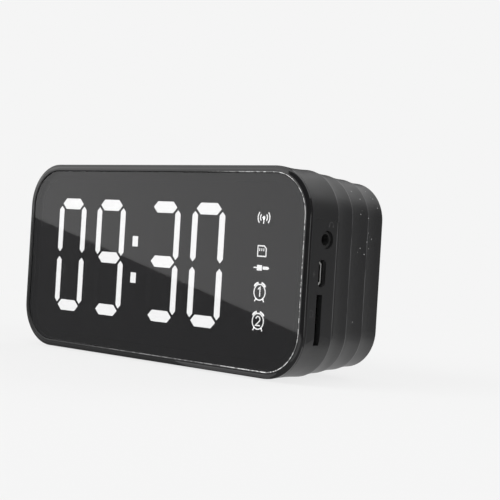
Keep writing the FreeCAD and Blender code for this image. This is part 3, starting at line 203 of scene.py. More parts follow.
class NodeShop:
    """Makes the nodes of one material, or of the surroundings."""

    def __init__(self, owner: Union[bpy.types.Material, bpy.types.World]) -> None:
        """Start with no nodes.

        Args:
            owner: what the nodes belong to.
        """
        owner.use_nodes = True
        self.owner = owner
        self.tree = owner.node_tree
        self.tree.nodes.clear()
        self._place: Optional[bpy.types.NodeSocket] = None

    @classmethod
    def for_material(cls, name: str) -> "NodeShop":
        """Start a material with that name."""
        return cls(bpy.data.materials.new(name))

    def node(
        self, kind: str, settings: Optional[Dict[str, Any]] = None, inputs: Optional[Dict[Any, Any]] = None
    ) -> bpy.types.Node:
        """Add a node: its settings are made first, and then its sockets are filled or linked.

        Args:
            kind: Blender's type of node.
            settings: the node's attributes.
            inputs: values, Signals or sockets, by socket name or number.

        Returns:
            The new node.
        """
        made = self.tree.nodes.new(kind)
        for word, setting in (settings or {}).items():
            setattr(made, word, setting)
        for key, term in (inputs or {}).items():
            target = made.inputs[key]
            source = term.socket if isinstance(term, Signal) else term
            if isinstance(source, bpy.types.NodeSocket):
                self.tree.links.new(source, target)
            elif target.type == "RGBA":
                target.default_value = (*source, 1.0)
            else:
                target.default_value = source
        return made

    @property
    def place(self) -> bpy.types.NodeSocket:
        """The point's own place in the frame.

        Returns:
            The socket with its x, y and z in metres.
        """
        if self._place is None:
            self._place = self.node("ShaderNodeTexCoord").outputs["Object"]
        return self._place

    def axis(self, letter: str) -> Signal:
        """Read one coordinate of the place.

        Args:
            letter: X, Y or Z.

        Returns:
            The coordinate in metres.
        """
        return Signal(self, self.node("ShaderNodeSeparateXYZ", {}, {0: self.place}).outputs[letter])

    def stretched(self, scale: Tuple[float, float, float]) -> bpy.types.NodeSocket:
        """Scale the place, so that a pattern is stretched along one direction.

        Args:
            scale: factors along x, y and z.

        Returns:
            The scaled place.
        """
        return self.node("ShaderNodeMapping", {}, {0: self.place, "Scale": scale}).outputs[0]

    def noise(
        self, per_metre: float, detail: float = 2.0, vector: Optional[bpy.types.NodeSocket] = None
    ) -> Signal:
        """Add a cloudy pattern.

        Args:
            per_metre: clouds in a metre.
            detail: how many finer layers are added.
            vector: the place to read, if not the plain one.

        Returns:
            The pattern's value, from 0 to 1.
        """
        inputs = {"Vector": vector or self.place, "Scale": per_metre, "Detail": detail}
        return Signal(self, self.node("ShaderNodeTexNoise", {}, inputs).outputs[0])

    def cells(self, per_metre: float) -> Tuple[Signal, Signal]:
        """Add a cell pattern.

        Args:
            per_metre: cells in a metre.

        Returns:
            The distance to the nearest core, and a number from 0 to 1 that each cell has for its own.
        """
        inputs = {"Vector": self.place, "Scale": per_metre}
        made = self.node("ShaderNodeTexVoronoi", {}, inputs)
        lot = self.node("ShaderNodeSeparateColor", {}, {0: made.outputs["Color"]})
        return Signal(self, made.outputs["Distance"]), Signal(self, lot.outputs[0])

    def borders(self, per_metre: float) -> Signal:
        """Add the borders of a cell pattern.

        Args:
            per_metre: cells in a metre.

        Returns:
            The distance to the nearest border.
        """
        inputs = {"Vector": self.place, "Scale": per_metre}
        made = self.node("ShaderNodeTexVoronoi", {"feature": "DISTANCE_TO_EDGE"}, inputs)
        return Signal(self, made.outputs["Distance"])

    def mix(self, share: Number, first: Any, second: Any) -> bpy.types.NodeSocket:
        """Blend two colours.

        Args:
            share: how much of the second colour shows.
            first: a colour or a socket that carries one.
            second: the other colour.

        Returns:
            The blended colour.
        """
        made = self.node("ShaderNodeMix", {"data_type": "RGBA"}, {0: share, 6: first, 7: second})
        return made.outputs[2]

    def bump(self, height: Signal, depth: float) -> bpy.types.NodeSocket:
        """Turn a height into a normal.

        Args:
            height: the surface's height, from 0 to 1.
            depth: what 1 stands for, in metres.

        Returns:
            The normal.
        """
        inputs = {"Strength": 1.0, "Distance": depth, "Height": height}
        return self.node("ShaderNodeBump", {}, inputs).outputs[0]

    def close(self, shader: bpy.types.Node, output: str = "ShaderNodeOutputMaterial") -> Any:
        """Link the last shader to the output.

        Args:
            shader: the node that holds the whole look.
            output: Blender's type of output node.

        Returns:
            The finished material, or the finished surroundings.
        """
        self.node(output, {}, {0: shader.outputs[0]})
        return self.owner

    def surface(self, **inputs: Any) -> bpy.types.Material:
        """Finish the material with a Principled shader.

        Args:
            inputs: its sockets, with _ for a space.

        Returns:
            The finished material.
        """
        named = {word.replace("_", " "): term for word, term in inputs.items()}
        return self.close(self.node("ShaderNodeBsdfPrincipled", {}, named))


# Finishes


def shade(colour: Colour, factor: float) -> Colour:
    """Darken a colour, or lighten it up to white.

    Args:
        colour: the colour to start from.
        factor: what each of its parts is multiplied by.

    Returns:
        The new colour.
    """
    red, green, blue = (min(1.0, part * factor) for part in colour)
    return red, green, blue


@dataclass(frozen=True)
class CaseFinish:
    """Satin black moulding with a fine grain, painted highlight lines along the crests and a few specks of
    dust.
    """

    colour: Colour = (0.0162, 0.0162, 0.0167)
    rubbed: Colour = (0.09, 0.09, 0.092)
    roughness: float = 0.39
    specular: float = 0.45
    clouds_per_metre: float = 90.0
    cloud_sheen: float = 0.16
    crests: Tuple[float, ...] = (-8.1 * MM, 0.25 * MM, 9.7 * MM, 18.4 * MM)
    crest_width: float = 0.2 * MM
    crest_sheen: float = 0.1
    grain_per_metre: float = 3200.0
    grain_depth: float = 0.012 * MM
    dust: Colour = (0.55, 0.55, 0.55)
    dust_share: float = 0.8
    dust_per_metre: float = 600.0
    dust_core: Tuple[float, float] = (0.13, 0.07)
    dusty_x: Tuple[float, float] = (55.0 * MM, 66.0 * MM)
    dusty_y: Tuple[float, float] = (1.0 * MM, 6.0 * MM)
    dusty_z: Tuple[float, float] = (28.0 * MM, 50.0 * MM)

    def material(self, name: str) -> bpy.types.Material:
        """Build the material; the painted highlight lines follow |y - crest|, the dust the cores of sparse
        cells.

        Args:
            name: the material's name.

        Returns:
            The finished material.
        """
        shop = NodeShop.for_material(name)
        back = shop.axis("Y")
        line: Number = 0.0
        for crest in self.crests:
            line = abs(back - crest).step(self.crest_width, self.crest_width * 0.3).highest(line)
        cloud = shop.noise(self.clouds_per_metre, 3.0)
        line = line * cloud.step(0.25, 0.6)
        colour = shop.mix(cloud * 0.6, self.colour, shade(self.colour, 0.8))
        # Painted highlight: the colour is lightened along the crests, where light would catch the ridges.
        colour = shop.mix(line, colour, self.rubbed)
        core, lot = shop.cells(self.dust_per_metre)
        settled = back.step(*self.dusty_y) * shop.axis("Z").step(*self.dusty_z)
        settled = settled * shop.axis("X").step(*self.dusty_x)
        dust = core.step(*self.dust_core) * lot.above(0.99 - settled * 0.5)
        return shop.surface(
            Base_Color=shop.mix(dust * self.dust_share, colour, self.dust),
            Roughness=self.roughness + (cloud - 0.5) * self.cloud_sheen - line * self.crest_sheen,
            Specular_IOR_Level=self.specular,
            Normal=shop.bump(shop.noise(self.grain_per_metre, 1.0), self.grain_depth),
        )


@dataclass(frozen=True)
class Moulded:
    """Plain moulded plastic or rubber with a grain, faint clouds and handling marks."""

    colour: Colour
    roughness: float = 0.45
    specular: float = 0.4
    grain_per_metre: float = 2600.0
    grain_depth: float = 0.01 * MM
    clouds: float = 0.25
    clouds_per_metre: float = 140.0
    cloud_sheen: float = 0.18

    def material(self, name: str) -> bpy.types.Material:
        """Build the material: clouds darken the colour, and the grain lifts the surface.

        Args:
            name: the material's name.

        Returns:
            The finished material.
        """
        shop = NodeShop.for_material(name)
        cloud = shop.noise(self.clouds_per_metre, 3.0)
        darker = shade(self.colour, 1.0 - self.clouds)
        return shop.surface(
            Base_Color=shop.mix(cloud.step(0.35, 0.75), self.colour, darker),
            Roughness=self.roughness + (cloud - 0.5) * self.cloud_sheen,
            Specular_IOR_Level=self.specular,
            Normal=shop.bump(shop.noise(self.grain_per_metre, 1.0), self.grain_depth),
        )


@dataclass(frozen=True)
class Metal:
    """Sheet metal with fine drawn lines along one direction, with painted shade behind a mouth if it has one.
    """

    colour: Colour
    roughness: float = 0.32
    along: Tuple[float, float, float] = (900.0, 60.0, 900.0)
    metallic: float = 1.0
    mouth: Optional[float] = None
    mouth_fade: Tuple[float, float] = (0.02 * MM, 0.25 * MM)
    stains_per_metre: float = 160.0
    stained: float = 0.72
    line_sheen: float = 0.25
    stain_sheen: float = 0.1
    line_depth: float = 0.01 * MM

    def material(self, name: str) -> bpy.types.Material:
        """Build the material: stretched noise drives the roughness, the tone and a slight bump.

        Args:
            name: the material's name.

        Returns:
            The finished material.
        """
        shop = NodeShop.for_material(name)
        lines = shop.noise(4.0, 3.0, shop.stretched(self.along))
        stain = shop.noise(self.stains_per_metre, 3.0)
        colour = shop.mix(stain.step(0.45, 0.8) * 0.7, self.colour, shade(self.colour, self.stained))
        # Painted shade: behind the mouth the colour darkens to a twentieth, as if the inside lay in shadow.
        if self.mouth is not None:
            bright, fully_shaded = (self.mouth - depth for depth in self.mouth_fade)
            colour = shop.mix(shop.axis("X").step(bright, fully_shaded), colour, shade(self.colour, 0.05))
        return shop.surface(
            Base_Color=colour,
            Roughness=self.roughness + (lines - 0.5) * self.line_sheen + (stain - 0.5) * self.stain_sheen,
            Metallic=self.metallic,
            Normal=shop.bump(lines, self.line_depth),
        )


@dataclass(frozen=True)
class Window:
    """Smoked window: dark, very smooth, and clear enough for the lit bars to show through."""

    colour: Colour = (0.012, 0.012, 0.013)
    roughness: float = 0.03
    opacity: float = 0.62
    refraction: float = 1.6
    smears_per_metre: float = 45.0
    smear_sheen: float = 0.03

    def material(self, name: str) -> bpy.types.Material:
        """Build the material: faint smears change only the roughness.

        Args:
            name: the material's name.

        Returns:
            The finished material.
        """
        shop = NodeShop.for_material(name)
        smear = shop.noise(self.smears_per_metre, 4.0, shop.stretched((1.0, 1.0, 2.2)))
        return shop.surface(
            Base_Color=shop.mix(smear * 0.4, self.colour, shade(self.colour, 1.5)),
            Roughness=self.roughness + smear.step(0.5, 0.8) * self.smear_sheen,
            IOR=self.refraction,
            Alpha=self.opacity,
        )


@dataclass(frozen=True)
class Lit:
    """A lit bar or sign: white light with a faint unevenness from the lamp behind it."""

    colour: Colour = (0.98, 0.98, 0.98)
    strength: float = 5.9
    clouds_per_metre: float = 220.0
    dimmed: float = 0.85

    def material(self, name: str) -> bpy.types.Material:
        """Build the material: slow clouds dim the light by a few percent.

        Args:
            name: the material's name.

        Returns:
            The finished material.
        """
        shop = NodeShop.for_material(name)
        cloud = shop.noise(self.clouds_per_metre, 1.0)
        light = shop.mix(cloud * 0.25, self.colour, shade(self.colour, self.dimmed))
        return shop.surface(
            Base_Color=light, Roughness=0.5, Emission_Color=light, Emission_Strength=self.strength
        )


@dataclass(frozen=True)
class EdgeGlint:
    """Edge of black plastic: dark, with a painted glint in broken bright stretches towards the right and
    below.
    """

    colour: Colour = (0.012, 0.012, 0.012)
    bright: Colour = (0.95, 0.95, 0.95)
    breaks_per_metre: float = 1000.0
    right_x: Tuple[float, float] = (20.0 * MM, 62.0 * MM)
    right_share: float = 0.85
    low_z: Tuple[float, float] = (12.0 * MM, 4.0 * MM)
    low_x: Tuple[float, float] = (-40.0 * MM, 0.0)
    low_share: float = 0.2
    least: float = 0.25

    def material(self, name: str) -> bpy.types.Material:
        """Build the material: noise breaks the painted glint, which fades out towards the left.

        Args:
            name: the material's name.

        Returns:
            The finished material.
        """
        shop = NodeShop.for_material(name)
        broken = shop.noise(self.breaks_per_metre, 1.0).step(0.44, 0.54)
        across = shop.axis("X")
        share = across.step(*self.right_x) * self.right_share
        share = share + shop.axis("Z").step(*self.low_z) * across.step(*self.low_x) * self.low_share
        # Painted glint: the base colour turns near white in broken stretches on the right and along the
        # bottom.
        glint = (share * (broken * (1.0 - self.least) + self.least)).lowest(1.0)
        return shop.surface(
            Base_Color=shop.mix(glint, self.colour, self.bright),
            Roughness=0.15 + glint * 0.2,
            Metallic=glint * 0.25,
            Specular_IOR_Level=0.5,
        )


@dataclass(frozen=True)
class Board:
    """Circuit board: solder resist over copper tracks, with tinned pads."""

    colour: Colour = (0.012, 0.11, 0.045)
    track: Colour = (0.03, 0.2, 0.09)
    pad: Colour = (0.6, 0.6, 0.58)
    tracks_per_metre: float = 260.0
    track_edge: Tuple[float, float] = (0.1, 0.06)
    pads_per_metre: float = 420.0
    pad_edge: Tuple[float, float] = (0.24, 0.18)
    bare: float = 0.62
    rise: float = 0.02 * MM

    def material(self, name: str) -> bpy.types.Material:
        """Build the material: cell borders make the tracks, and the cores of some cells the pads.

        Args:
            name: the material's name.

        Returns:
            The finished material.
        """
        shop = NodeShop.for_material(name)
        core, lot = shop.cells(self.pads_per_metre)
        tracks = shop.borders(self.tracks_per_metre).step(*self.track_edge)
        pads = core.step(*self.pad_edge) * lot.above(self.bare)
        colour = shop.mix(tracks, self.colour, self.track)
        return shop.surface(
            Base_Color=shop.mix(pads, colour, self.pad),
            Roughness=0.32 + pads * 0.1,
            Metallic=pads,
            Normal=shop.bump(tracks + pads, self.rise),
        )


@dataclass(frozen=True)
class Wound:
    """Enamelled wire in close turns."""

    colour: Colour = (0.42, 0.14, 0.045)
    turns_per_metre: float = 5200.0
    groove: float = 0.06 * MM

    def material(self, name: str) -> bpy.types.Material:
        """Build the material: a sine of y makes the turns, and painted shade darkens the grooves between
        them.

        Args:
            name: the material's name.

        Returns:
            The finished material.
        """
        shop = NodeShop.for_material(name)
        turns = (shop.axis("Y") * (self.turns_per_metre * 2 * math.pi)).sine() * 0.5 + 0.5
        # Painted shade: the colour darkens to under half in the grooves between turns.
        colour = shop.mix(turns, shade(self.colour, 0.45), self.colour)
        return shop.surface(
            Base_Color=colour, Roughness=0.3, Metallic=0.85, Normal=shop.bump(turns, self.groove)
        )


@dataclass(frozen=True)
class Fibre:
    """Pressed paper, felt or foam: matt, with fibres or pores."""

    colour: Colour
    per_metre: float = 900.0
    depth: float = 0.05 * MM
    roughness: float = 0.85

    def material(self, name: str) -> bpy.types.Material:
        """Build the material: two sizes of noise give the mottle and the fibres.

        Args:
            name: the material's name.

        Returns:
            The finished material.
        """
        shop = NodeShop.for_material(name)
        fibre = shop.noise(self.per_metre, 4.0, shop.stretched((1.0, 1.0, 1.6)))
        mottle = shop.noise(self.per_metre * 0.2, 2.0)
        return shop.surface(
            Base_Color=shop.mix(fibre * 0.7 + mottle * 0.3, self.colour, shade(self.colour, 1.7)),
            Roughness=self.roughness,
            Specular_IOR_Level=0.2,
            Normal=shop.bump(fibre, self.depth),
        )


class Finish(enum.Enum):
    """Every finish on the object, by the record's material slot."""

    SATIN_BLACK = CaseFinish()
    GLOSS_BLACK = Moulded((0.007, 0.007, 0.0075), 0.09, 0.6, 700.0, 0.0005 * MM)
    LENS_TINT = Window()
    BLACK_TAPE = Fibre((0.02, 0.02, 0.02))
    BLACK_FILM = Moulded((0.006, 0.006, 0.006), 0.6, 0.2)
    MILKY_SHEET = Moulded((0.78, 0.79, 0.8), 0.55, 0.3)
    WHITE_PLASTIC = Moulded((0.8, 0.8, 0.79), 0.5, 0.4, clouds=0.06)
    LIT_BARS = Lit()
    DARK_BARS = Moulded((0.02, 0.02, 0.022), 0.35, 0.4)
    LAMP_YELLOW = Moulded((0.85, 0.72, 0.2), 0.3, 0.5, clouds=0.12)
    BOARD_GREEN = Board()
    CHIP_BLACK = Moulded((0.022, 0.022, 0.023), 0.55, 0.4)
    CAPACITOR_SLEEVE = Moulded((0.02, 0.03, 0.075), 0.25, 0.5)
    SOCKET_BLACK = Moulded((0.02, 0.02, 0.02), 0.4, 0.5)
    # Painted shade on this steel inward of the USB socket's mouth.
    SOCKET_STEEL = Metal((0.8, 0.8, 0.78), 0.3, (60.0, 900.0, 900.0), 0.55, room("usb_socket").high[0] * MM)
    PAD_RUBBER = Moulded((0.014, 0.014, 0.014), 0.8, 0.25, 1800.0, 0.03 * MM)
    GRILLE_BLACK = Moulded((0.013, 0.013, 0.0135), 0.38, 0.45, 1900.0, 0.02 * MM)
    SWITCH_BLACK = Moulded((0.025, 0.025, 0.025), 0.5, 0.4)
    KEY_BLACK = Moulded((0.013, 0.013, 0.0135), 0.42, 0.42, 3000.0, 0.012 * MM)
    PLUNGER_BLACK = Moulded((0.05, 0.05, 0.05), 0.5, 0.4)
    BATTERY_WRAP = Metal((0.66, 0.67, 0.69), 0.36, (300.0, 300.0, 900.0))
    SCREW_BLACK = Metal((0.055, 0.055, 0.058), 0.35, (700.0, 700.0, 700.0), 0.9)
    BASKET_STEEL = Metal((0.3, 0.3, 0.31), 0.42, (500.0, 500.0, 500.0))
    ZINC_STEEL = Metal((0.55, 0.55, 0.52), 0.3, (500.0, 80.0, 500.0))
    MAGNET_NICKEL = Metal((0.58, 0.56, 0.52), 0.18, (400.0, 400.0, 400.0))
    COIL_COPPER = Wound()
    CONE_PAPER = Fibre((0.018, 0.018, 0.019), 1300.0)
    CAP_PAPER = Fibre((0.03, 0.03, 0.031), 1600.0)
    SURROUND_RUBBER = Moulded((0.012, 0.012, 0.012), 0.6, 0.35, 1500.0, 0.02 * MM)
    GASKET_FOAM = Fibre((0.03, 0.03, 0.03), 1100.0, 0.15 * MM)
    # Painted glint on the bead round the window.
    POLISHED_EDGE = EdgeGlint()
    RAISED_MARK = Moulded((0.05, 0.05, 0.051), 0.4, 0.35)
    PRINT = Moulded((0.42, 0.42, 0.42), 0.55, 0.3, 2600.0, 0.004 * MM)

    @property
    def slot(self) -> str:
        """The record's word for the finish, or for the piece that a mark or an edge belongs to."""
        shared = {"POLISHED_EDGE": "gloss_black", "RAISED_MARK": "satin_black", "PRINT": "key_black"}
        return shared.get(self.name, self.name.lower())

    def dress(self, piece: bpy.types.Object) -> None:
        """Give the finish to a piece, made once and then shared.

        Args:
            piece: the object that wears it.
        """
        word = f"finish_{self.name.lower()}"
        material = bpy.data.materials.get(word) or self.value.material(word)
        if piece.data.materials:
            for index in range(len(piece.data.materials)):
                piece.data.materials[index] = material
        else:
            piece.data.materials.append(material)


# Surfaces worked out as arrays


def placed(name: str, data: bpy.types.ID) -> bpy.types.Object:
    """Put a mesh, a lamp or a camera into the scene, at the origin.

    Args:
        name: the object's name.
        data: what it holds.

    Returns:
        The new object.
    """
    made = bpy.data.objects.new(name, data)
    bpy.context.scene.collection.objects.link(made)
    return made


@dataclass
class Shape:
    """Points and faces of a piece in the making, in metres.

    The corners of all faces stand one after another, and counts says how many each face has.
    """

    points: np.ndarray
    corners: np.ndarray
    counts: np.ndarray

    @classmethod
    def grid(cls, points: np.ndarray, closed_rows: bool = False) -> "Shape":
        """Join a grid of points into four-cornered faces, with each row closed to a ring.

        Args:
            points: rows x columns x 3.
            closed_rows: whether the last row joins the first.

        Returns:
            A tube, or a closed ring if its rows are closed too.
        """
        rows, columns = points.shape[:2]
        row = np.arange(rows if closed_rows else rows - 1)[:, None]
        column = np.arange(columns)[None, :]
        down, right = (row + 1) % rows, (column + 1) % columns
        ring = [(row, column), (row, right), (down, right), (down, column)]
        faces = np.stack([place * columns + beside for place, beside in ring], axis=-1)
        return cls(points.reshape(-1, 3), faces.ravel(), np.full(faces.size // 4, 4))

    @classmethod
    def lofted(cls, points: np.ndarray) -> "Shape":
        """Join closed rings into a solid with a flat face over its first and its last ring.

        Args:
            points: rows x columns x 3, a ring in each row.

        Returns:
            The closed solid.
        """
        columns = points.shape[1]
        tube = cls.grid(points)
        first = np.arange(columns)
        last = first + len(tube.points) - columns
        corners = np.concatenate([tube.corners, first, last])
        return cls(tube.points, corners, np.append(tube.counts, [columns, columns]))

    @classmethod
    def joined(cls, shapes: Sequence["Shape"]) -> "Shape":
        """Put shapes into one piece.

        Args:
            shapes: the shapes, in the order in which their points are kept.

        Returns:
            The one shape.
        """
        sizes = [len(shape.points) for shape in shapes]
        starts = np.cumsum(sizes) - sizes
        corners = np.concatenate([shape.corners + start for shape, start in zip(shapes, starts)])
        counts = np.concatenate([shape.counts for shape in shapes])
        return cls(np.vstack([shape.points for shape in shapes]), corners, counts)

    def _mesh(self, name: str) -> bpy.types.Mesh:
        """Put the arrays into a new mesh.

        Args:
            name: the mesh's name.

        Returns:
            The mesh, with its edges.
        """
        mesh = bpy.data.meshes.new(name)
        mesh.vertices.add(len(self.points))
        mesh.vertices.foreach_set("co", self.points.astype(np.float32).ravel())
        mesh.loops.add(len(self.corners))
        mesh.loops.foreach_set("vertex_index", self.corners.astype(np.int32))
        mesh.polygons.add(len(self.counts))
        mesh.polygons.foreach_set("loop_start", (np.cumsum(self.counts) - self.counts).astype(np.int32))
        mesh.update(calc_edges=True)
        return mesh

    def build(
        self,
        name: str,
        finish: Finish,
        body: Optional[str] = "case",
        replaced: Sequence[str] = (),
        crease: float = 38.0,
    ) -> bpy.types.Object:
        """Make the piece: doubles are merged, faces turned outwards, and edges over the crease kept.

        Args:
            name: the piece's name.
            finish: what it wears.
            body: the CAD body that it rides on, or nothing, which leaves the piece unattached.
            replaced: CAD nodes that it stands for.
            crease: the angle in degrees over which an edge stays sharp.

        Returns:
            The new object.
        """
        mesh = self._mesh(name)
        work = bmesh.new()
        work.from_mesh(mesh)
        bmesh.ops.remove_doubles(work, verts=work.verts, dist=SAME_POINT)
        bmesh.ops.recalc_face_normals(work, faces=work.faces)
        work.to_mesh(mesh)
        work.free()
        mesh.set_sharp_from_angle(angle=math.radians(crease))
        corners = np.empty(len(mesh.polygons), np.int32)
        mesh.polygons.foreach_get("loop_total", corners)
        mesh.polygons.foreach_set("use_smooth", corners <= 4)
        mesh.update()
        piece = placed(name, mesh)
        finish.dress(piece)
        if body:
            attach(piece, body)
        if replaced:
            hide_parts(*replaced)
        LOG.info("%s: %d faces in %s", name, len(mesh.polygons), finish.slot)
        return piece


def arc(
    centre: Sequence[float], radius: float, start: float, end: float, count: int, tall: float = 1.0
) -> np.ndarray:
    """Lay points along an arc: centre + radius (cos a, tall sin a), with a from start to end in degrees.

    Args:
        centre: the arc's middle.
        radius: its radius.
        start: the first angle.
        end: the last angle.
        count: how many points.
        tall: the height over the width.

    Returns:
        Rows of two coordinates.
    """
    angle = np.radians(np.linspace(start, end, count))[:, None]
    return np.array(centre) + radius * np.concatenate([np.cos(angle), tall * np.sin(angle)], axis=1)


@dataclass(frozen=True)
class Outline:
    """A room's rectangle as seen from the front, with round corners, in millimetres."""

    around: Room
    corner: float
    grown: float = 0.0

    def rings(self, profile: Sequence[Sequence[float]], steps: int = 16) -> np.ndarray:
        """Carry a profile round the outline: corner middle + (corner - inset) (cos a, sin a).

        Args:
            profile: rows of (inset, y), in millimetres.
            steps: points in each corner.

        Returns:
            A grid of points in metres, a ring for each point of the profile.
        """
        rows = np.array(profile, float)
        angle = np.radians(np.linspace(0.0, 90.0, steps)[None, :] + [[0.0], [90.0], [180.0], [270.0]])
        side = np.array([[1, 1], [-1, 1], [-1, -1], [1, -1]], float)
        centre = self.around.middle[::2] + side * (self.around.half[::2] - self.corner)
        radius = (self.corner + self.grown - rows[:, 0])[:, None, None]
        across = (centre[:, :1] + radius * np.cos(angle)).reshape(len(rows), -1)
        up = (centre[:, 1:] + radius * np.sin(angle)).reshape(len(rows), -1)
        back = rows[:, 1][:, None] + 0.0 * across
        return np.stack([across, back, up], axis=-1) * MM


class Facing(enum.Enum):
    """Which way a flat sign faces, as its right, its up and its outward direction."""

    FRONT = ((1, 0, 0), (0, 0, 1), (0, -1, 0))
    RIGHT = ((0, 1, 0), (0, 0, 1), (1, 0, 0))
    TOP = ((1, 0, 0), (0, 1, 0), (0, 0, 1))

    def place(self, flat: np.ndarray, origin: Sequence[float], lift: float) -> np.ndarray:
        """Carry flat points into the frame: origin + right u + up v + outwards lift.

        Args:
            flat: rows of (u, v), in millimetres.
            origin: where the sign's own (0, 0) goes, in millimetres.
            lift: how far outwards the points lie, in millimetres.

        Returns:
            Rows of (x, y, z), in metres.
        """
        right, up, out = (np.array(part, float) for part in self.value)
        return (np.array(origin) + flat[:, :1] * right + flat[:, 1:] * up + lift * out) * MM


@dataclass
class Sign:
    """A pictogram of bands and filled outlines, in millimetres about its own middle."""

    paths: List[Tuple[np.ndarray, float, bool]] = field(default_factory=list)

    def line(self, points: Any, width: float, closed: bool = False) -> "Sign":
        """Add a band of even width along some points."""
        self.paths.append((np.array(points, float), width, closed))
        return self

    def fill(self, points: Any) -> "Sign":
        """Add a filled outline."""
        return self.line(points, 0.0, True)

    def disc(self, centre: Sequence[float], radius: float) -> "Sign":
        """Add a filled dot."""
        return self.fill(arc(centre, radius, 0, 345, 24))

    def ring(self, centre: Sequence[float], radius: float, width: float, tall: float = 1.0) -> "Sign":
        """Add a ring, or an oval one."""
        return self.line(arc(centre, radius, 0, 354, 60, tall), width, True)

    def scaled(self, factor: float) -> "Sign":
        """Enlarge or shrink the whole pictogram about its middle."""
        return Sign([(path * factor, width * factor, closed) for path, width, closed in self.paths])

    @staticmethod
    def _edges(path: np.ndarray, width: float, closed: bool) -> Tuple[np.ndarray, np.ndarray]:
        """Shift a path to both sides by half the width along its mitred normals.

        Args:
            path: rows of (u, v).
            width: the band's width.
            closed: whether the path's end joins its start.

        Returns:
            The left edge and the right edge.
        """
        if closed:
            before, after = path - np.roll(path, 1, axis=0), np.roll(path, -1, axis=0) - path
        else:
            step = np.diff(path, axis=0)
            before, after = np.vstack([step[:1], step]), np.vstack([step, step[-1:]])
        before = before / np.linalg.norm(before, axis=1, keepdims=True)
        after = after / np.linalg.norm(after, axis=1, keepdims=True)
        along = before + after
        along = along / np.maximum(np.linalg.norm(along, axis=1, keepdims=True), 1e-9)
        mitre = 1.0 / np.maximum(np.sum(along * after, axis=1, keepdims=True), 0.4)
        shift = np.stack([-along[:, 1], along[:, 0]], axis=1) * mitre * width / 2
        return path + shift, path - shift

    def shape(self, facing: Facing, origin: Sequence[float], rise: float) -> Shape:
        """Raise every band and outline into a flat solid.

        Args:
            facing: which way the sign faces.
            origin: where its middle goes, in millimetres.
            rise: its thickness, in millimetres.

        Returns:
            The joined solids.
        """
        parts = []
        for path, width, closed in self.paths:
            if width == 0.0:
                rings = [facing.place(path, origin, lift) for lift in (0.0, rise)]
                parts.append(Shape.lofted(np.stack(rings)))
                continue
            left, right = self._edges(path, width, closed)
            corners = [(left, 0.0), (right, 0.0), (right, rise), (left, rise)]
            grid = np.stack([facing.place(edge, origin, lift) for edge, lift in corners], axis=1)
            parts.append(Shape.grid(grid, True) if closed else Shape.lofted(grid))
        return Shape.joined(parts)


# Front


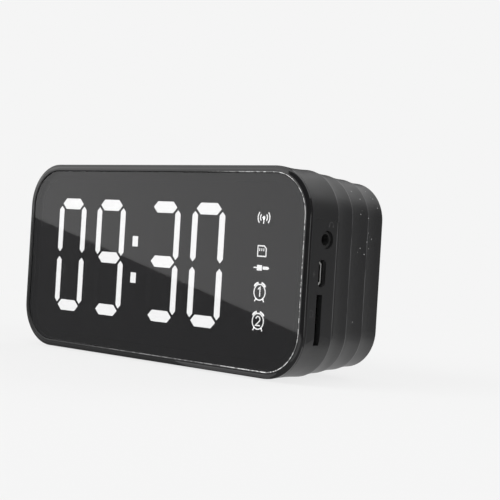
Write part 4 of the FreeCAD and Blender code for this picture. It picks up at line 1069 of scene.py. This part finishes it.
@dataclass(frozen=True)
class DisplayWindow:
    """Smoked window with polished edges, the bead round it, and the lit signs beside the digits."""

    plate: Room = room("display_lens")
    corner: float = 13.34
    edge: float = 0.2
    chamfer: float = 0.06
    back_inset: float = 0.25
    back_edge: float = 0.2
    mask_gap: float = 0.03
    bead_reach: float = 0.28
    bead_proud: float = 0.13
    bead_radius: float = 0.2
    sign_x: float = 49.2
    sign_rise: float = 0.018

    def build(self) -> None:
        """Make the window, the bead and the signs."""
        self._plate()
        self._bead()
        signs = {
            "sign_radio": (self.radio().scaled(1.3), 17.1),
            "sign_card": (self.card().scaled(1.2), 6.5),
            "sign_plug": (self.plug().scaled(1.2), 1.1),
            "sign_alarm_1": (self.alarm().line([(-0.75, 0.95), (0.12, 1.6), (0.12, -1.45)], 0.42), -6.75),
            "sign_alarm_2": (self.alarm().line(self.two(), 0.42), -16.1),
        }
        for name, (sign, level) in signs.items():
            origin = (self.sign_x, self.plate.high[1], self.plate.middle[2] + level)
            shape = sign.shape(Facing.FRONT, origin, self.sign_rise)
            shape.build(name, Finish.LIT_BARS, crease=SIGN_CREASE)

    def _plate(self) -> None:
        """Carry the plate's edge round its outline: a quarter round in front, a small one behind."""
        front, back = self.plate.low[1], self.plate.high[1] - self.mask_gap
        quarter = arc((self.edge, front + self.edge), self.edge, 180.0, 270.0, 6)
        profile = [(self.back_inset, back), (self.chamfer, back - self.chamfer), (0.0, back - self.back_edge)]
        shape = Shape.lofted(Outline(self.plate, self.corner).rings([*profile, *quarter]))
        shape.build("window", Finish.LENS_TINT, replaced=["display_lens"])

    def _bead(self) -> None:
        """Carry a small circle round the window's edge, half sunk in the frame's slope."""
        circle = arc((0.0, self.plate.low[1] - self.bead_proud), self.bead_radius, 0.0, 330.0, 12)
        rings = Outline(self.plate, self.corner, self.bead_reach).rings(circle, 24)
        # The bead wears a painted glint.
        Shape.grid(rings, True).build("window_bead", Finish.POLISHED_EDGE)

    @staticmethod
    def radio() -> Sign:
        """A mast that sends waves to both sides.

        Returns:
            The sign.
        """
        sign = Sign().disc((0.0, 0.15), 0.42).line([(0.0, 0.1), (0.0, -1.4)], 0.34)
        for radius in (1.15, 1.95):
            sign.line(arc((0.0, 0.15), radius, -42, 42, 12), 0.34)
            sign.line(arc((0.0, 0.15), radius, 138, 222, 12), 0.34)
        return sign

    @staticmethod
    def card() -> Sign:
        """A memory card with its cut corner and its contacts.

        Returns:
            The sign.
        """
        ring = [(-1.5, -1.4), (1.5, -1.4), (1.5, 0.75), (0.75, 1.4), (-1.5, 1.4)]
        sign = Sign().line(ring, 0.34, True)
        for across in (-0.85, -0.1, 0.65):
            sign.line([(across, 0.75), (across, 0.0)], 0.3)
        return sign

    @staticmethod
    def plug() -> Sign:
        """A round plug with its tip, lying down.

        Returns:
            The sign.
        """
        sign = Sign().line([(-2.7, 0.0), (-1.5, 0.0)], 0.34)
        sign.fill([(-1.5, -0.75), (0.35, -0.75), (0.35, 0.75), (-1.5, 0.75)])
        sign.fill([(0.6, -0.42), (2.5, -0.42), (3.0, 0.0), (2.5, 0.42), (0.6, 0.42)])
        return sign

    @staticmethod
    def alarm() -> Sign:
        """A round clock with two bells and two feet.

        Returns:
            The sign.
        """
        sign = Sign().ring((0.0, 0.0), 2.42, 0.4, 1.05)
        for side in (-1, 1):
            bell = [(side * x, z) for x, z in arc((0.0, 0.0), 3.1, 46, 78, 8)]
            sign.line(bell, 0.62)
            sign.disc((side * 2.3, 2.05), 0.32)
            sign.line([(side * 1.45, -2.15), (side * 2.05, -3.05)], 0.42)
        return sign

    @staticmethod
    def two() -> np.ndarray:
        """The path of a plain figure 2."""
        hook = arc((0.0, 0.65), 0.9, 170.0, -35.0, 14)
        return np.vstack([hook, [(-0.95, -1.35), (1.05, -1.35)]])


@dataclass(frozen=True)
class BarBorders:
    """Border printed on the mask round every bar and block of the clock, which trims their light."""

    places: Tuple[float, ...] = (-46.7, -25.0, 3.1, 24.3)
    middle: float = 0.6
    reach_x: float = 6.4
    reach_z: float = 18.9
    level_bar: Tuple[float, float] = (6.05, 2.1)
    upright_bar: Tuple[float, float] = (8.75, 1.45)
    blocks: float = -11.4
    block_half: Tuple[float, float] = (1.55, 1.95)
    block_level: float = 6.45
    width: float = 0.24
    rise: float = 0.016

    def build(self) -> None:
        """Print all borders as one piece."""
        sign = Sign()
        for place in self.places:
            for level in (-1, 0, 1):
                self._bar(sign, place, level * self.reach_z, self.level_bar, 1)
            for side in (-1, 1):
                for level in (-0.5, 0.5):
                    self._bar(sign, place + side * self.reach_x, level * self.reach_z, self.upright_bar, -1)
        half_x, half_z = self.block_half
        for level in (-self.block_level, self.block_level):
            corners = np.array([(-half_x, -half_z), (half_x, -half_z), (half_x, half_z), (-half_x, half_z)])
            sign.line(corners + (self.blocks, level), self.width, True)
        plate = room("display_lens")
        origin = (0.0, plate.high[1], plate.middle[2] + self.middle)
        shape = sign.shape(Facing.FRONT, origin, self.rise)
        shape.build("bar_borders", Finish.BLACK_FILM, crease=SIGN_CREASE)

    def _bar(self, sign: Sign, x: float, z: float, size: Tuple[float, float], turn: int) -> None:
        """Add one bar's border: a hexagon whose tips are as long as half its thickness.

        Args:
            sign: what the border is added to.
            x: how far to the right the bar's middle lies, in millimetres.
            z: how far above the digits' middle it lies.
            size: half its length and half its thickness.
            turn: 1 for a level bar and -1 for an upright one.
        """
        tip, rise = size
        flat = tip - rise
        ring = np.array([(tip, 0), (flat, rise), (-flat, rise), (-tip, 0), (-flat, -rise), (flat, -rise)])
        sign.line(ring[:, ::turn] + (x, z), self.width, True)


# Keys and sockets


@dataclass(frozen=True)
class KeyMarks:
    """Printed signs on the five keys along the top."""

    lift: float = 0.0026
    rise: float = 0.03

    def build(self) -> None:
        """Print each key's sign, which rides on its key."""
        signs = {
            "mode": self.mode(),
            "previous": self.skip(-1),
            "play": self.play(),
            "next": self.skip(1),
            "power": self.power(),
        }
        for name, sign in signs.items():
            key = room(f"key_{name}")
            shape = sign.shape(Facing.TOP, (*key.middle[:2], key.high[2] + self.lift), self.rise)
            shape.build(f"print_{name}", Finish.PRINT, f"key_{name}", crease=SIGN_CREASE)

    @staticmethod
    def mode() -> Sign:
        """Four small squares.

        Returns:
            The sign.
        """
        sign = Sign()
        for x in (-0.75, 0.75):
            for y in (-0.75, 0.75):
                square = np.array([(-0.42, -0.42), (0.42, -0.42), (0.42, 0.42), (-0.42, 0.42)])
                sign.line(square + (x, y), 0.22, True)
        return sign

    @staticmethod
    def skip(way: int) -> Sign:
        """Two arrowheads and a stop bar.

        Args:
            way: 1 to point right and -1 to point left.

        Returns:
            The sign.
        """
        sign = Sign()
        for start in (-1.7, -0.2):
            sign.fill([(way * start, -0.95), (way * (start + 1.5), 0.0), (way * start, 0.95)])
        return sign.line([(way * 1.55, -0.95), (way * 1.55, 0.95)], 0.3)

    @staticmethod
    def play() -> Sign:
        """An arrowhead and two bars."""
        sign = Sign().fill([(-1.7, -0.95), (-0.1, 0.0), (-1.7, 0.95)])
        return sign.line([(0.55, -0.95), (0.55, 0.95)], 0.34).line([(1.35, -0.95), (1.35, 0.95)], 0.34)

    @staticmethod
    def power() -> Sign:
        """An open ring with a stroke in its gap."""
        return Sign().line(arc((0.0, -0.1), 1.05, 125, 415, 30), 0.3).line([(0.0, 0.1), (0.0, 1.3)], 0.3)


@dataclass(frozen=True)
class SocketMarks:
    """Faint raised signs beside the sockets in the right side."""

    sunk: float = 0.4
    rise: float = 0.05

    def build(self) -> None:
        """Mould a headset over the round socket, a bolt by the oblong one and a card by the slot."""
        headset = Sign().line(arc((0.0, 0.0), 0.95, 0, 180, 16), 0.22)
        headset.fill([(-1.2, -0.75), (-0.7, -0.75), (-0.7, 0.1), (-1.2, 0.1)])
        headset.fill([(1.2, -0.75), (1.2, 0.1), (0.7, 0.1), (0.7, -0.75)])
        bolt = [(0.25, 1.1), (-0.65, -0.15), (-0.02, -0.15), (-0.25, -1.1), (0.65, 0.15), (0.02, 0.15)]
        card = Sign().line([(-0.75, -1.0), (0.75, -1.0), (0.75, 0.5), (0.3, 1.0), (-0.75, 1.0)], 0.2, True)
        panel = room("main_housing").high[0] - self.sunk
        for name, sign, socket, beside, over in (
            ("mark_headset", headset, "audio_jack", 1.55, 4.7),
            ("mark_charge", Sign().fill(bolt), "usb_socket", -3.9, -0.3),
            ("mark_card", card, "card_socket", -3.55, 2.1),
        ):
            _, back, level = room(socket).middle
            shape = sign.shape(Facing.RIGHT, (panel, back + beside, level + over), self.rise)
            shape.build(name, Finish.RAISED_MARK, crease=SIGN_CREASE)


# Back


@dataclass(frozen=True)
class CoverScrews:
    """Four pan-head screws with a cross recess and a coarse thread."""

    screws: Room = room("rear_cover_screws")
    across: float = 56.5
    apart: float = 47.36
    head_height: float = 1.7
    head_radius: float = 2.55
    dome: float = 0.35
    shank_radius: float = 1.27
    core_radius: float = 0.98
    pitch: float = 1.1
    crest_slope: float = 3.2
    tip: float = 1.6
    arm_half: float = 0.42
    arm_reach: float = 1.45
    arm_fade: Tuple[float, float] = (0.14, 0.5)
    recess: float = 1.0
    first_turn: float = 0.35
    more_turn: Tuple[float, float] = (0.5, 0.9)

    @property
    def seat(self) -> float:
        """How far back the heads' undersides lie."""
        return self.screws.high[1] - self.head_height

    def build(self) -> None:
        """Make the four screws as one piece, as the CAD node holds them."""
        parts = []
        for right, x in enumerate((-self.across, self.across)):
            for upper, rise in enumerate((-self.apart / 2, self.apart / 2)):
                z = self.screws.middle[2] + rise
                turned = self.first_turn + self.more_turn[0] * right + self.more_turn[1] * upper
                parts += [self._head(x, z, turned), self._shank(x, z)]
        whole = Shape.joined(parts)
        whole.build("cover_screws", Finish.SCREW_BLACK, replaced=["rear_cover_screws"], crease=45.0)

    def _arm(self, along: np.ndarray, beside: np.ndarray) -> np.ndarray:
        """Work out one arm of the cross, as a share of the recess's depth.

        The share is 1 within the arm, half at its half width from its line, and 0 outside.

        Args:
            along: how far each point lies along the arm.
            beside: how far it lies beside the arm's line.

        Returns:
            The share at each point.
        """
        wide = np.clip((self.arm_half - np.abs(beside)) / self.arm_fade[0] + 0.5, 0.0, 1.0)
        return wide * np.clip((self.arm_reach - np.abs(along)) / self.arm_fade[1], 0.0, 1.0)

    def _head(self, x: float, z: float, turned: float) -> Shape:
        """Shape a head on a polar grid: top - dome (r / R) squared, less the deeper of the cross's arms.

        Args:
            x: how far to the right the screw lies, in millimetres.
            z: how high it lies.
            turned: how far the cross is turned, in radians.

        Returns:
            The head's closed shape, in metres.
        """
        share = np.linspace(0.0, 1.0, 40)[:, None]
        angle = np.linspace(0.0, 2 * math.pi, 72, endpoint=False)[None, :]
        radius = self.head_radius * share
        along, beside = radius * np.cos(angle - turned), radius * np.sin(angle - turned)
        depth = self.recess * np.maximum(self._arm(along, beside), self._arm(beside, along))
        top = self.screws.high[1] - self.dome * share**2 - depth
        face = np.stack([x + radius * np.cos(angle), top, z + radius * np.sin(angle)], axis=-1)
        rim = face[-1:].copy()
        rim[..., 1] = self.seat
        return Shape.lofted(np.concatenate([face, rim]) * MM)

    def _shank(self, x: float, z: float) -> Shape:
        """Wind the thread: radius = core + height tri(a / 2 pi - y / pitch), tapered at the tip.

        Args:
            x: how far to the right the screw lies, in millimetres.
            z: how high it lies.

        Returns:
            The shank's closed shape, in metres.
        """
        end = self.screws.low[1]
        back = np.linspace(self.seat, end, 111)[:, None]
        angle = np.linspace(0.0, 2 * math.pi, 20, endpoint=False)[None, :]
        wave = (angle / (2 * math.pi) - back / self.pitch) % 1.0
        thread = np.clip(1.0 - np.abs(wave - 0.5) * self.crest_slope, 0.0, 1.0)
        taper = np.clip((back - end) / self.tip, 0.25, 1.0)
        radius = (self.core_radius + (self.shank_radius - self.core_radius) * thread) * taper
        points = [x + radius * np.cos(angle), back + 0.0 * radius, z + radius * np.sin(angle)]
        return Shape.lofted(np.stack(points, axis=-1) * MM)


@dataclass(frozen=True)
class Loudspeaker:
    """Soft parts of one loudspeaker: the rolled rubber surround and the foam ring behind it."""

    word: str
    lip: float = 0.4
    lip_edge: float = 0.12
    soft_edge: float = 0.1
    glue: float = 0.03
    sunk: float = 0.02
    outer: float = 18.0
    inner: float = 16.0
    cone: float = 14.2
    overlap: float = 1.2
    over_radius: float = 0.98
    under_radius: float = 0.62
    under_tall: float = 1.25
    rib: float = 0.025
    ribs: int = 6
    rib_start: float = 0.3
    rib_fade: float = 0.4
    foam_inner: float = 16.45
    foam_outer: float = 18.1
    foam_bulge: float = 0.1
    sectors: int = 8

    @property
    def basket(self) -> Room:
        """The box of the basket, whose flange the surround is glued to."""
        return room(f"driver_basket_{self.word}")

    def build(self) -> None:
        """Make the surround's sectors and the foam ring."""
        for number in range(self.sectors):
            self._sector(number)
        self._foam()

    def _turned(self, profile: np.ndarray, angles: np.ndarray) -> np.ndarray:
        """Turn a profile about the loudspeaker's line: x = cx + r sin a, z = cz + r cos a.

        Args:
            profile: rows of (radius, y), in millimetres.
            angles: the places round the turn, in radians.

        Returns:
            A grid of points in millimetres, a row for each point of the profile.
        """
        radius, back = profile[:, :1], profile[:, 1:]
        centre = self.basket.middle
        across, up = centre[0] + radius * np.sin(angles), centre[2] + radius * np.cos(angles)
        return np.stack([across, back + 0.0 * across, up], axis=-1)

    def _roll(self) -> np.ndarray:
        """Draw the surround's section: flat lips and a half roll between them.

        Returns:
            Rows of (radius, y), in millimetres.
        """
        flange, edge = self.basket.high[1], self.cone - self.overlap
        top, glue, middle = flange + self.lip, flange + self.glue, (self.inner + self.cone) / 2
        soft = self.soft_edge
        over = arc((middle, top - self.sunk), self.over_radius, 0.0, 180.0, 19)
        under = arc((middle, flange + soft), self.under_radius, 180.0, 0.0, 13, self.under_tall)
        ring = [(self.outer, flange), (self.outer, top - self.lip_edge), (self.outer - self.lip_edge, top)]
        ring += [*over, (edge + soft, top), (edge, top - soft), (edge, glue), (self.cone - soft, glue)]
        return np.array([*ring, *under])

    def _sector(self, number: int) -> None:
        """Turn the section through one sector, whose roll runs from the flange to the cone.

        The roll has fine ribs, which follow rib cos(ribs a sectors).

        Args:
            number: the sector's place round the turn, from 0.
        """
        step = 2 * math.pi / self.sectors
        angles = np.linspace(number * step, (number + 1) * step, 37)[None, :]
        flange, profile = self.basket.high[1], self._roll()
        points = self._turned(profile, angles)
        crest = np.clip((profile[:, 1:] - (flange + self.lip + self.rib_start)) / self.rib_fade, 0.0, 1.0)
        points[..., 1] += crest * self.rib * np.cos(self.ribs * angles * self.sectors)
        shape = Shape.lofted(points.transpose(1, 0, 2) * MM)
        name, node = f"surround_{self.word}_{number + 1}", f"driver_surround_{self.word}"
        piece = shape.build(name, Finish.SURROUND_RUBBER, None, [node])
        chord = np.array([(self.inner * math.cos(step / 2), flange), (self.cone, flange)])
        ends = self._turned(chord, np.array([[(number + 0.5) * step]]))[:, 0] * MM
        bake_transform(piece)

    def _foam(self) -> None:
        """Turn the foam ring, whose free sides bulge by a tenth of a millimetre between their faces."""
        node = f"driver_gasket_{self.word}"
        share = np.linspace(0.0, 1.0, 9)
        low, high = self.basket.high[1] + self.lip, room(node).high[1]
        back, bulge = low + (high - low) * share, self.foam_bulge * np.sin(math.pi * share)
        inside = np.stack([self.foam_inner - bulge, back], axis=1)
        outside = np.stack([self.foam_outer + bulge, back], axis=1)[::-1]
        angles = np.linspace(0.0, 2 * math.pi, 96, endpoint=False)[None, :]
        shape = Shape.grid(self._turned(np.vstack([inside, outside]), angles) * MM, True)
        piece = shape.build(f"foam_ring_{self.word}", Finish.GASKET_FOAM, replaced=[node])


@dataclass(frozen=True)
class Tapes:
    """Foam tape behind the window and behind the battery."""

    strip: Room = room("lens_tape")
    strip_corner: float = 13.2
    strip_width: float = 2.6
    strip_inset: float = 0.01
    soft_edge: float = 0.05
    pad: Room = room("battery_tape")
    pad_corner: float = 1.2
    pad_bulge: float = 0.12

    def build(self) -> None:
        """Make both tapes with soft edges that bulge between their faces."""
        low, high = self.strip.low[1] + self.strip_inset, self.strip.high[1] - self.strip_inset
        wide, soft, middle = self.strip_width, self.soft_edge, self.strip.middle[1]
        ring = [(soft, low), (0.0, middle), (soft, high)]
        ring += [(wide - inset, back) for inset, back in reversed(ring)]
        shape = Shape.grid(Outline(self.strip, self.strip_corner).rings(ring), True)
        shape.build("window_tape", Finish.BLACK_TAPE, replaced=["lens_tape"])
        share = np.linspace(0.0, 1.0, 9)
        back = self.pad.low[1] + (self.pad.high[1] - self.pad.low[1]) * share
        bulge = np.stack([self.pad_bulge * (1.0 - np.sin(math.pi * share)), back], axis=1)
        shape = Shape.lofted(Outline(self.pad, self.pad_corner).rings(bulge, 6))
        shape.build("battery_foam", Finish.BLACK_TAPE, replaced=["battery_tape"])


# Light, floor and camera


@dataclass(frozen=True)
class Studio:
    """Pale floor and surroundings, soft light, and the camera at the photograph's angle."""

    white: float = 0.913
    lens_mm: float = 90.0
    sensor_mm: float = 36.0
    clip: Tuple[float, float] = (0.01, 200.0)
    camera_place: Tuple[float, float, float] = (318.16 * MM, -318.89 * MM, 43.39 * MM)
    yaw: float = 42.597
    tilt: float = 0.3099
    roll: float = -3.4505
    even_light: float = 0.62
    floor_size: float = 60.0
    floor_drop: float = 0.02 * MM
    floor_grain_per_metre: float = 260.0
    floor_takes: float = 0.14
    floor_tones: Tuple[Colour, Colour] = ((0.63, 0.63, 0.63), (0.65, 0.65, 0.65))
    fade: Tuple[float, float] = (0.14, 0.42)
    box_glow: float = 1.5
    flag_glow: float = 0.34
    dark_glow: float = 0.12
    card_left: float = -0.9
    card_inner: float = -0.02
    card_right: float = 0.5
    card_back: float = -0.1425
    card_top: float = 0.5
    card_foot: float = 0.4 * MM
    border_x: float = -224.8 * MM
    border_z: float = 50.5 * MM
    border_slope: float = -0.2363
    lamp_aim: Tuple[float, float, float] = (0.0, 0.0, 34.0 * MM)

    def build(self) -> None:
        """Make the camera, the surroundings, the floor, the cards and the lamps."""
        self._camera()
        self._world()
        self._floor()
        self._cards()
        self._lamps()
        bpy.context.scene.view_settings.view_transform = "Standard"

    def _camera(self) -> None:
        """Aim the camera: forward is (-sin yaw cos tilt, cos yaw cos tilt, -sin tilt), then the roll."""
        yaw, tilt, roll = (math.radians(angle) for angle in (self.yaw, self.tilt, self.roll))
        ahead = np.array([-math.sin(yaw) * math.cos(tilt), math.cos(yaw) * math.cos(tilt), -math.sin(tilt)])
        level = np.array([math.cos(yaw), math.sin(yaw), 0.0])
        down = np.cross(ahead, level)
        right = math.cos(roll) * level + math.sin(roll) * down
        lower = -math.sin(roll) * level + math.cos(roll) * down
        turn = np.eye(4)
        turn[:3] = np.stack([right, -lower, -ahead, self.camera_place], axis=1)
        lens = bpy.data.cameras.new("camera")
        lens.lens, lens.sensor_width = self.lens_mm, self.sensor_mm
        lens.clip_start, lens.clip_end = self.clip
        camera = placed("camera", lens)
        camera.matrix_world = Matrix(turn.tolist())
        bpy.context.scene.camera = camera

    @staticmethod
    def _seen(shop: NodeShop) -> Signal:
        """Tell the rays that show a surface, straight, mirrored or through glass, from the light's.

        Args:
            shop: the maker of the nodes.

        Returns:
            1 for a ray that shows the surface and 0 for one that only brings light.
        """
        path = shop.node("ShaderNodeLightPath")
        words = ("Is Camera Ray", "Is Glossy Ray", "Is Transmission Ray")
        straight, mirrored, through = (Signal(shop, path.outputs[word]) for word in words)
        return straight.highest(mirrored).highest(through)

    def _world(self) -> None:
        """Surround the object with white where it is seen, and with even light at a lower strength."""
        world = bpy.data.worlds.new("surroundings")
        shop = NodeShop(world)
        strength = self._seen(shop) * (self.white - self.even_light) + self.even_light
        light = shop.node("ShaderNodeBackground", {}, {"Color": (1.0, 1.0, 1.0), "Strength": strength})
        bpy.context.scene.world = shop.close(light, "ShaderNodeOutputWorld")

    def _floor(self) -> None:
        """Lay a pale floor that melts into the surroundings and still takes the object's shadow."""
        half, low = self.floor_size / 2, -self.floor_drop
        corners = [(-half, -half, low), (half, -half, low), (half, half, low), (-half, half, low)]
        shop = NodeShop.for_material("floor_white")
        tone = shop.mix(shop.noise(self.floor_grain_per_metre), *self.floor_tones)
        matt = shop.node("ShaderNodeBsdfDiffuse", {}, {"Color": tone})
        glow = shop.node("ShaderNodeEmission", {}, {"Color": (self.white,) * 3, "Strength": 1.0})
        far = shop.node("ShaderNodeVectorMath", {"operation": "LENGTH"}, {0: shop.place}).outputs["Value"]
        near = Signal(shop, far).step(*reversed(self.fade))
        share = self._seen(shop) * (1.0 - near * self.floor_takes)
        both = shop.node("ShaderNodeMixShader", {}, {0: share, 1: matt.outputs[0], 2: glow.outputs[0]})
        self._card("floor", corners, shop.close(both), shown=True)

    @staticmethod
    def _card(
        name: str, corners: Sequence[Sequence[float]], material: bpy.types.Material, shown: bool = False
    ) -> None:
        """Stand a flat card in the studio, which only reflections see unless it is shown.

        Args:
            name: the card's name.
            corners: its corners in order, in metres.
            material: what it wears.
            shown: whether the camera and the light meet it too.
        """
        mesh = bpy.data.meshes.new(name)
        mesh.from_pydata([tuple(corner) for corner in corners], [], [tuple(range(len(corners)))])
        mesh.materials.append(material)
        card = placed(name, mesh)
        for way in ("camera", "diffuse", "transmission", "shadow", "volume_scatter"):
            setattr(card, f"visible_{way}", shown)

    def _cards(self) -> None:
        """Set up what the gloss mirrors: a soft box and flags before the window, below and beside it.

        The window mirrors the left half of the cards before it, where the lower flag's edge runs down to
        the right and draws the slanting border. The frame's slopes mirror the rest, which stays dark.
        """
        left, inner, right = self.card_left, self.card_inner, self.card_right
        top, foot = self.card_top, self.card_foot
        crossing = self.border_x + (foot - self.border_z) / self.border_slope
        outer = self.border_z + self.border_slope * (left - self.border_x)
        box = self._plain("soft_box", self.box_glow)
        flag = self._plain("flag", self.flag_glow)
        dark = self._plain("dark_flag", self.dark_glow)
        standing = {
            "soft_box": (box, [(left, outer), (crossing, foot), (inner, foot), (inner, top), (left, top)]),
            "flag": (flag, [(left, foot), (crossing, foot), (left, outer)]),
            "flag_beside": (dark, [(inner, foot), (right, foot), (right, top), (inner, top)]),
        }
        for name, (material, points) in standing.items():
            self._card(name, [(x, self.card_back, z) for x, z in points], material)
        clear_of_front = [(0.066, -0.024), (0.02, -0.024), (-0.045, -0.012), (left, -0.012)]
        lying = {
            "flag_under": [(left, self.card_back), (0.066, self.card_back), *clear_of_front],
            "flag_aside": [(0.085, -0.05), (0.6, -0.05), (0.6, 0.6), (0.085, 0.6)],
        }
        for name, points in lying.items():
            self._card(name, [(x, y, foot) for x, y in points], flag)
        wing = [(-0.02, 0.0), (0.4, 0.0), (0.4, 0.3), (-0.02, 0.3)]
        self._card("flag_left", [(-0.16, y, z) for y, z in wing], dark)
        centre, along = np.array([0.34, 0.3]), 0.34 * np.array([-0.68, 0.73])
        near, far, height = centre - along, centre + along, 0.28
        self._card("side_flag", [(*near, 0.0), (*far, 0.0), (*far, height), (*near, height)], dark)

    @staticmethod
    def _plain(name: str, glow: float) -> bpy.types.Material:
        """Make an even emitter for a card.

        Args:
            name: the material's name.
            glow: its brightness, where 1 is white.

        Returns:
            The material.
        """
        shop = NodeShop.for_material(name)
        return shop.close(shop.node("ShaderNodeEmission", {}, {"Color": (1.0, 1.0, 1.0), "Strength": glow}))

    def _lamps(self) -> None:
        """Hang three soft boxes: above and left of the front, to the right, and behind."""
        for name, place, width, height, watts in (
            ("key_box", (-0.45, -0.75, 0.85), 0.7, 0.7, 9.0),
            ("side_box", (0.95, -0.15, 0.55), 0.5, 0.7, 5.0),
            ("back_box", (0.1, 0.95, 0.75), 0.8, 0.5, 7.0),
        ):
            light = bpy.data.lights.new(name, "AREA")
            light.shape, light.size, light.size_y, light.energy = "RECTANGLE", width, height, watts
            lamp = placed(name, light)
            away = Vector(place) - Vector(self.lamp_aim)
            turn = away.to_track_quat("Z", "Y").to_matrix().to_4x4()
            turn.translation = Vector(place)
            lamp.matrix_world = turn
            lamp.visible_glossy = False


def main() -> None:
    """Build the scene in order, and report each piece."""
    logging.basicConfig(level=logging.INFO, format="%(name)s: %(message)s")
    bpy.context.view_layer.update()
    slots = {part["node"]: part["material_slot"] for part in frame["record"]["subparts"]}
    for node, piece in frame["nodes"].items():
        Finish[slots[node].upper()].dress(piece)
        LOG.info("%s: %s", node, slots[node])
    for assembly in (
        DisplayWindow(),
        BarBorders(),
        KeyMarks(),
        SocketMarks(),
        CoverScrews(),
        Loudspeaker("left"),
        Loudspeaker("right"),
        Tapes(),
        Studio(),
    ):
        assembly.build()


if __name__ == "__main__":
    main()
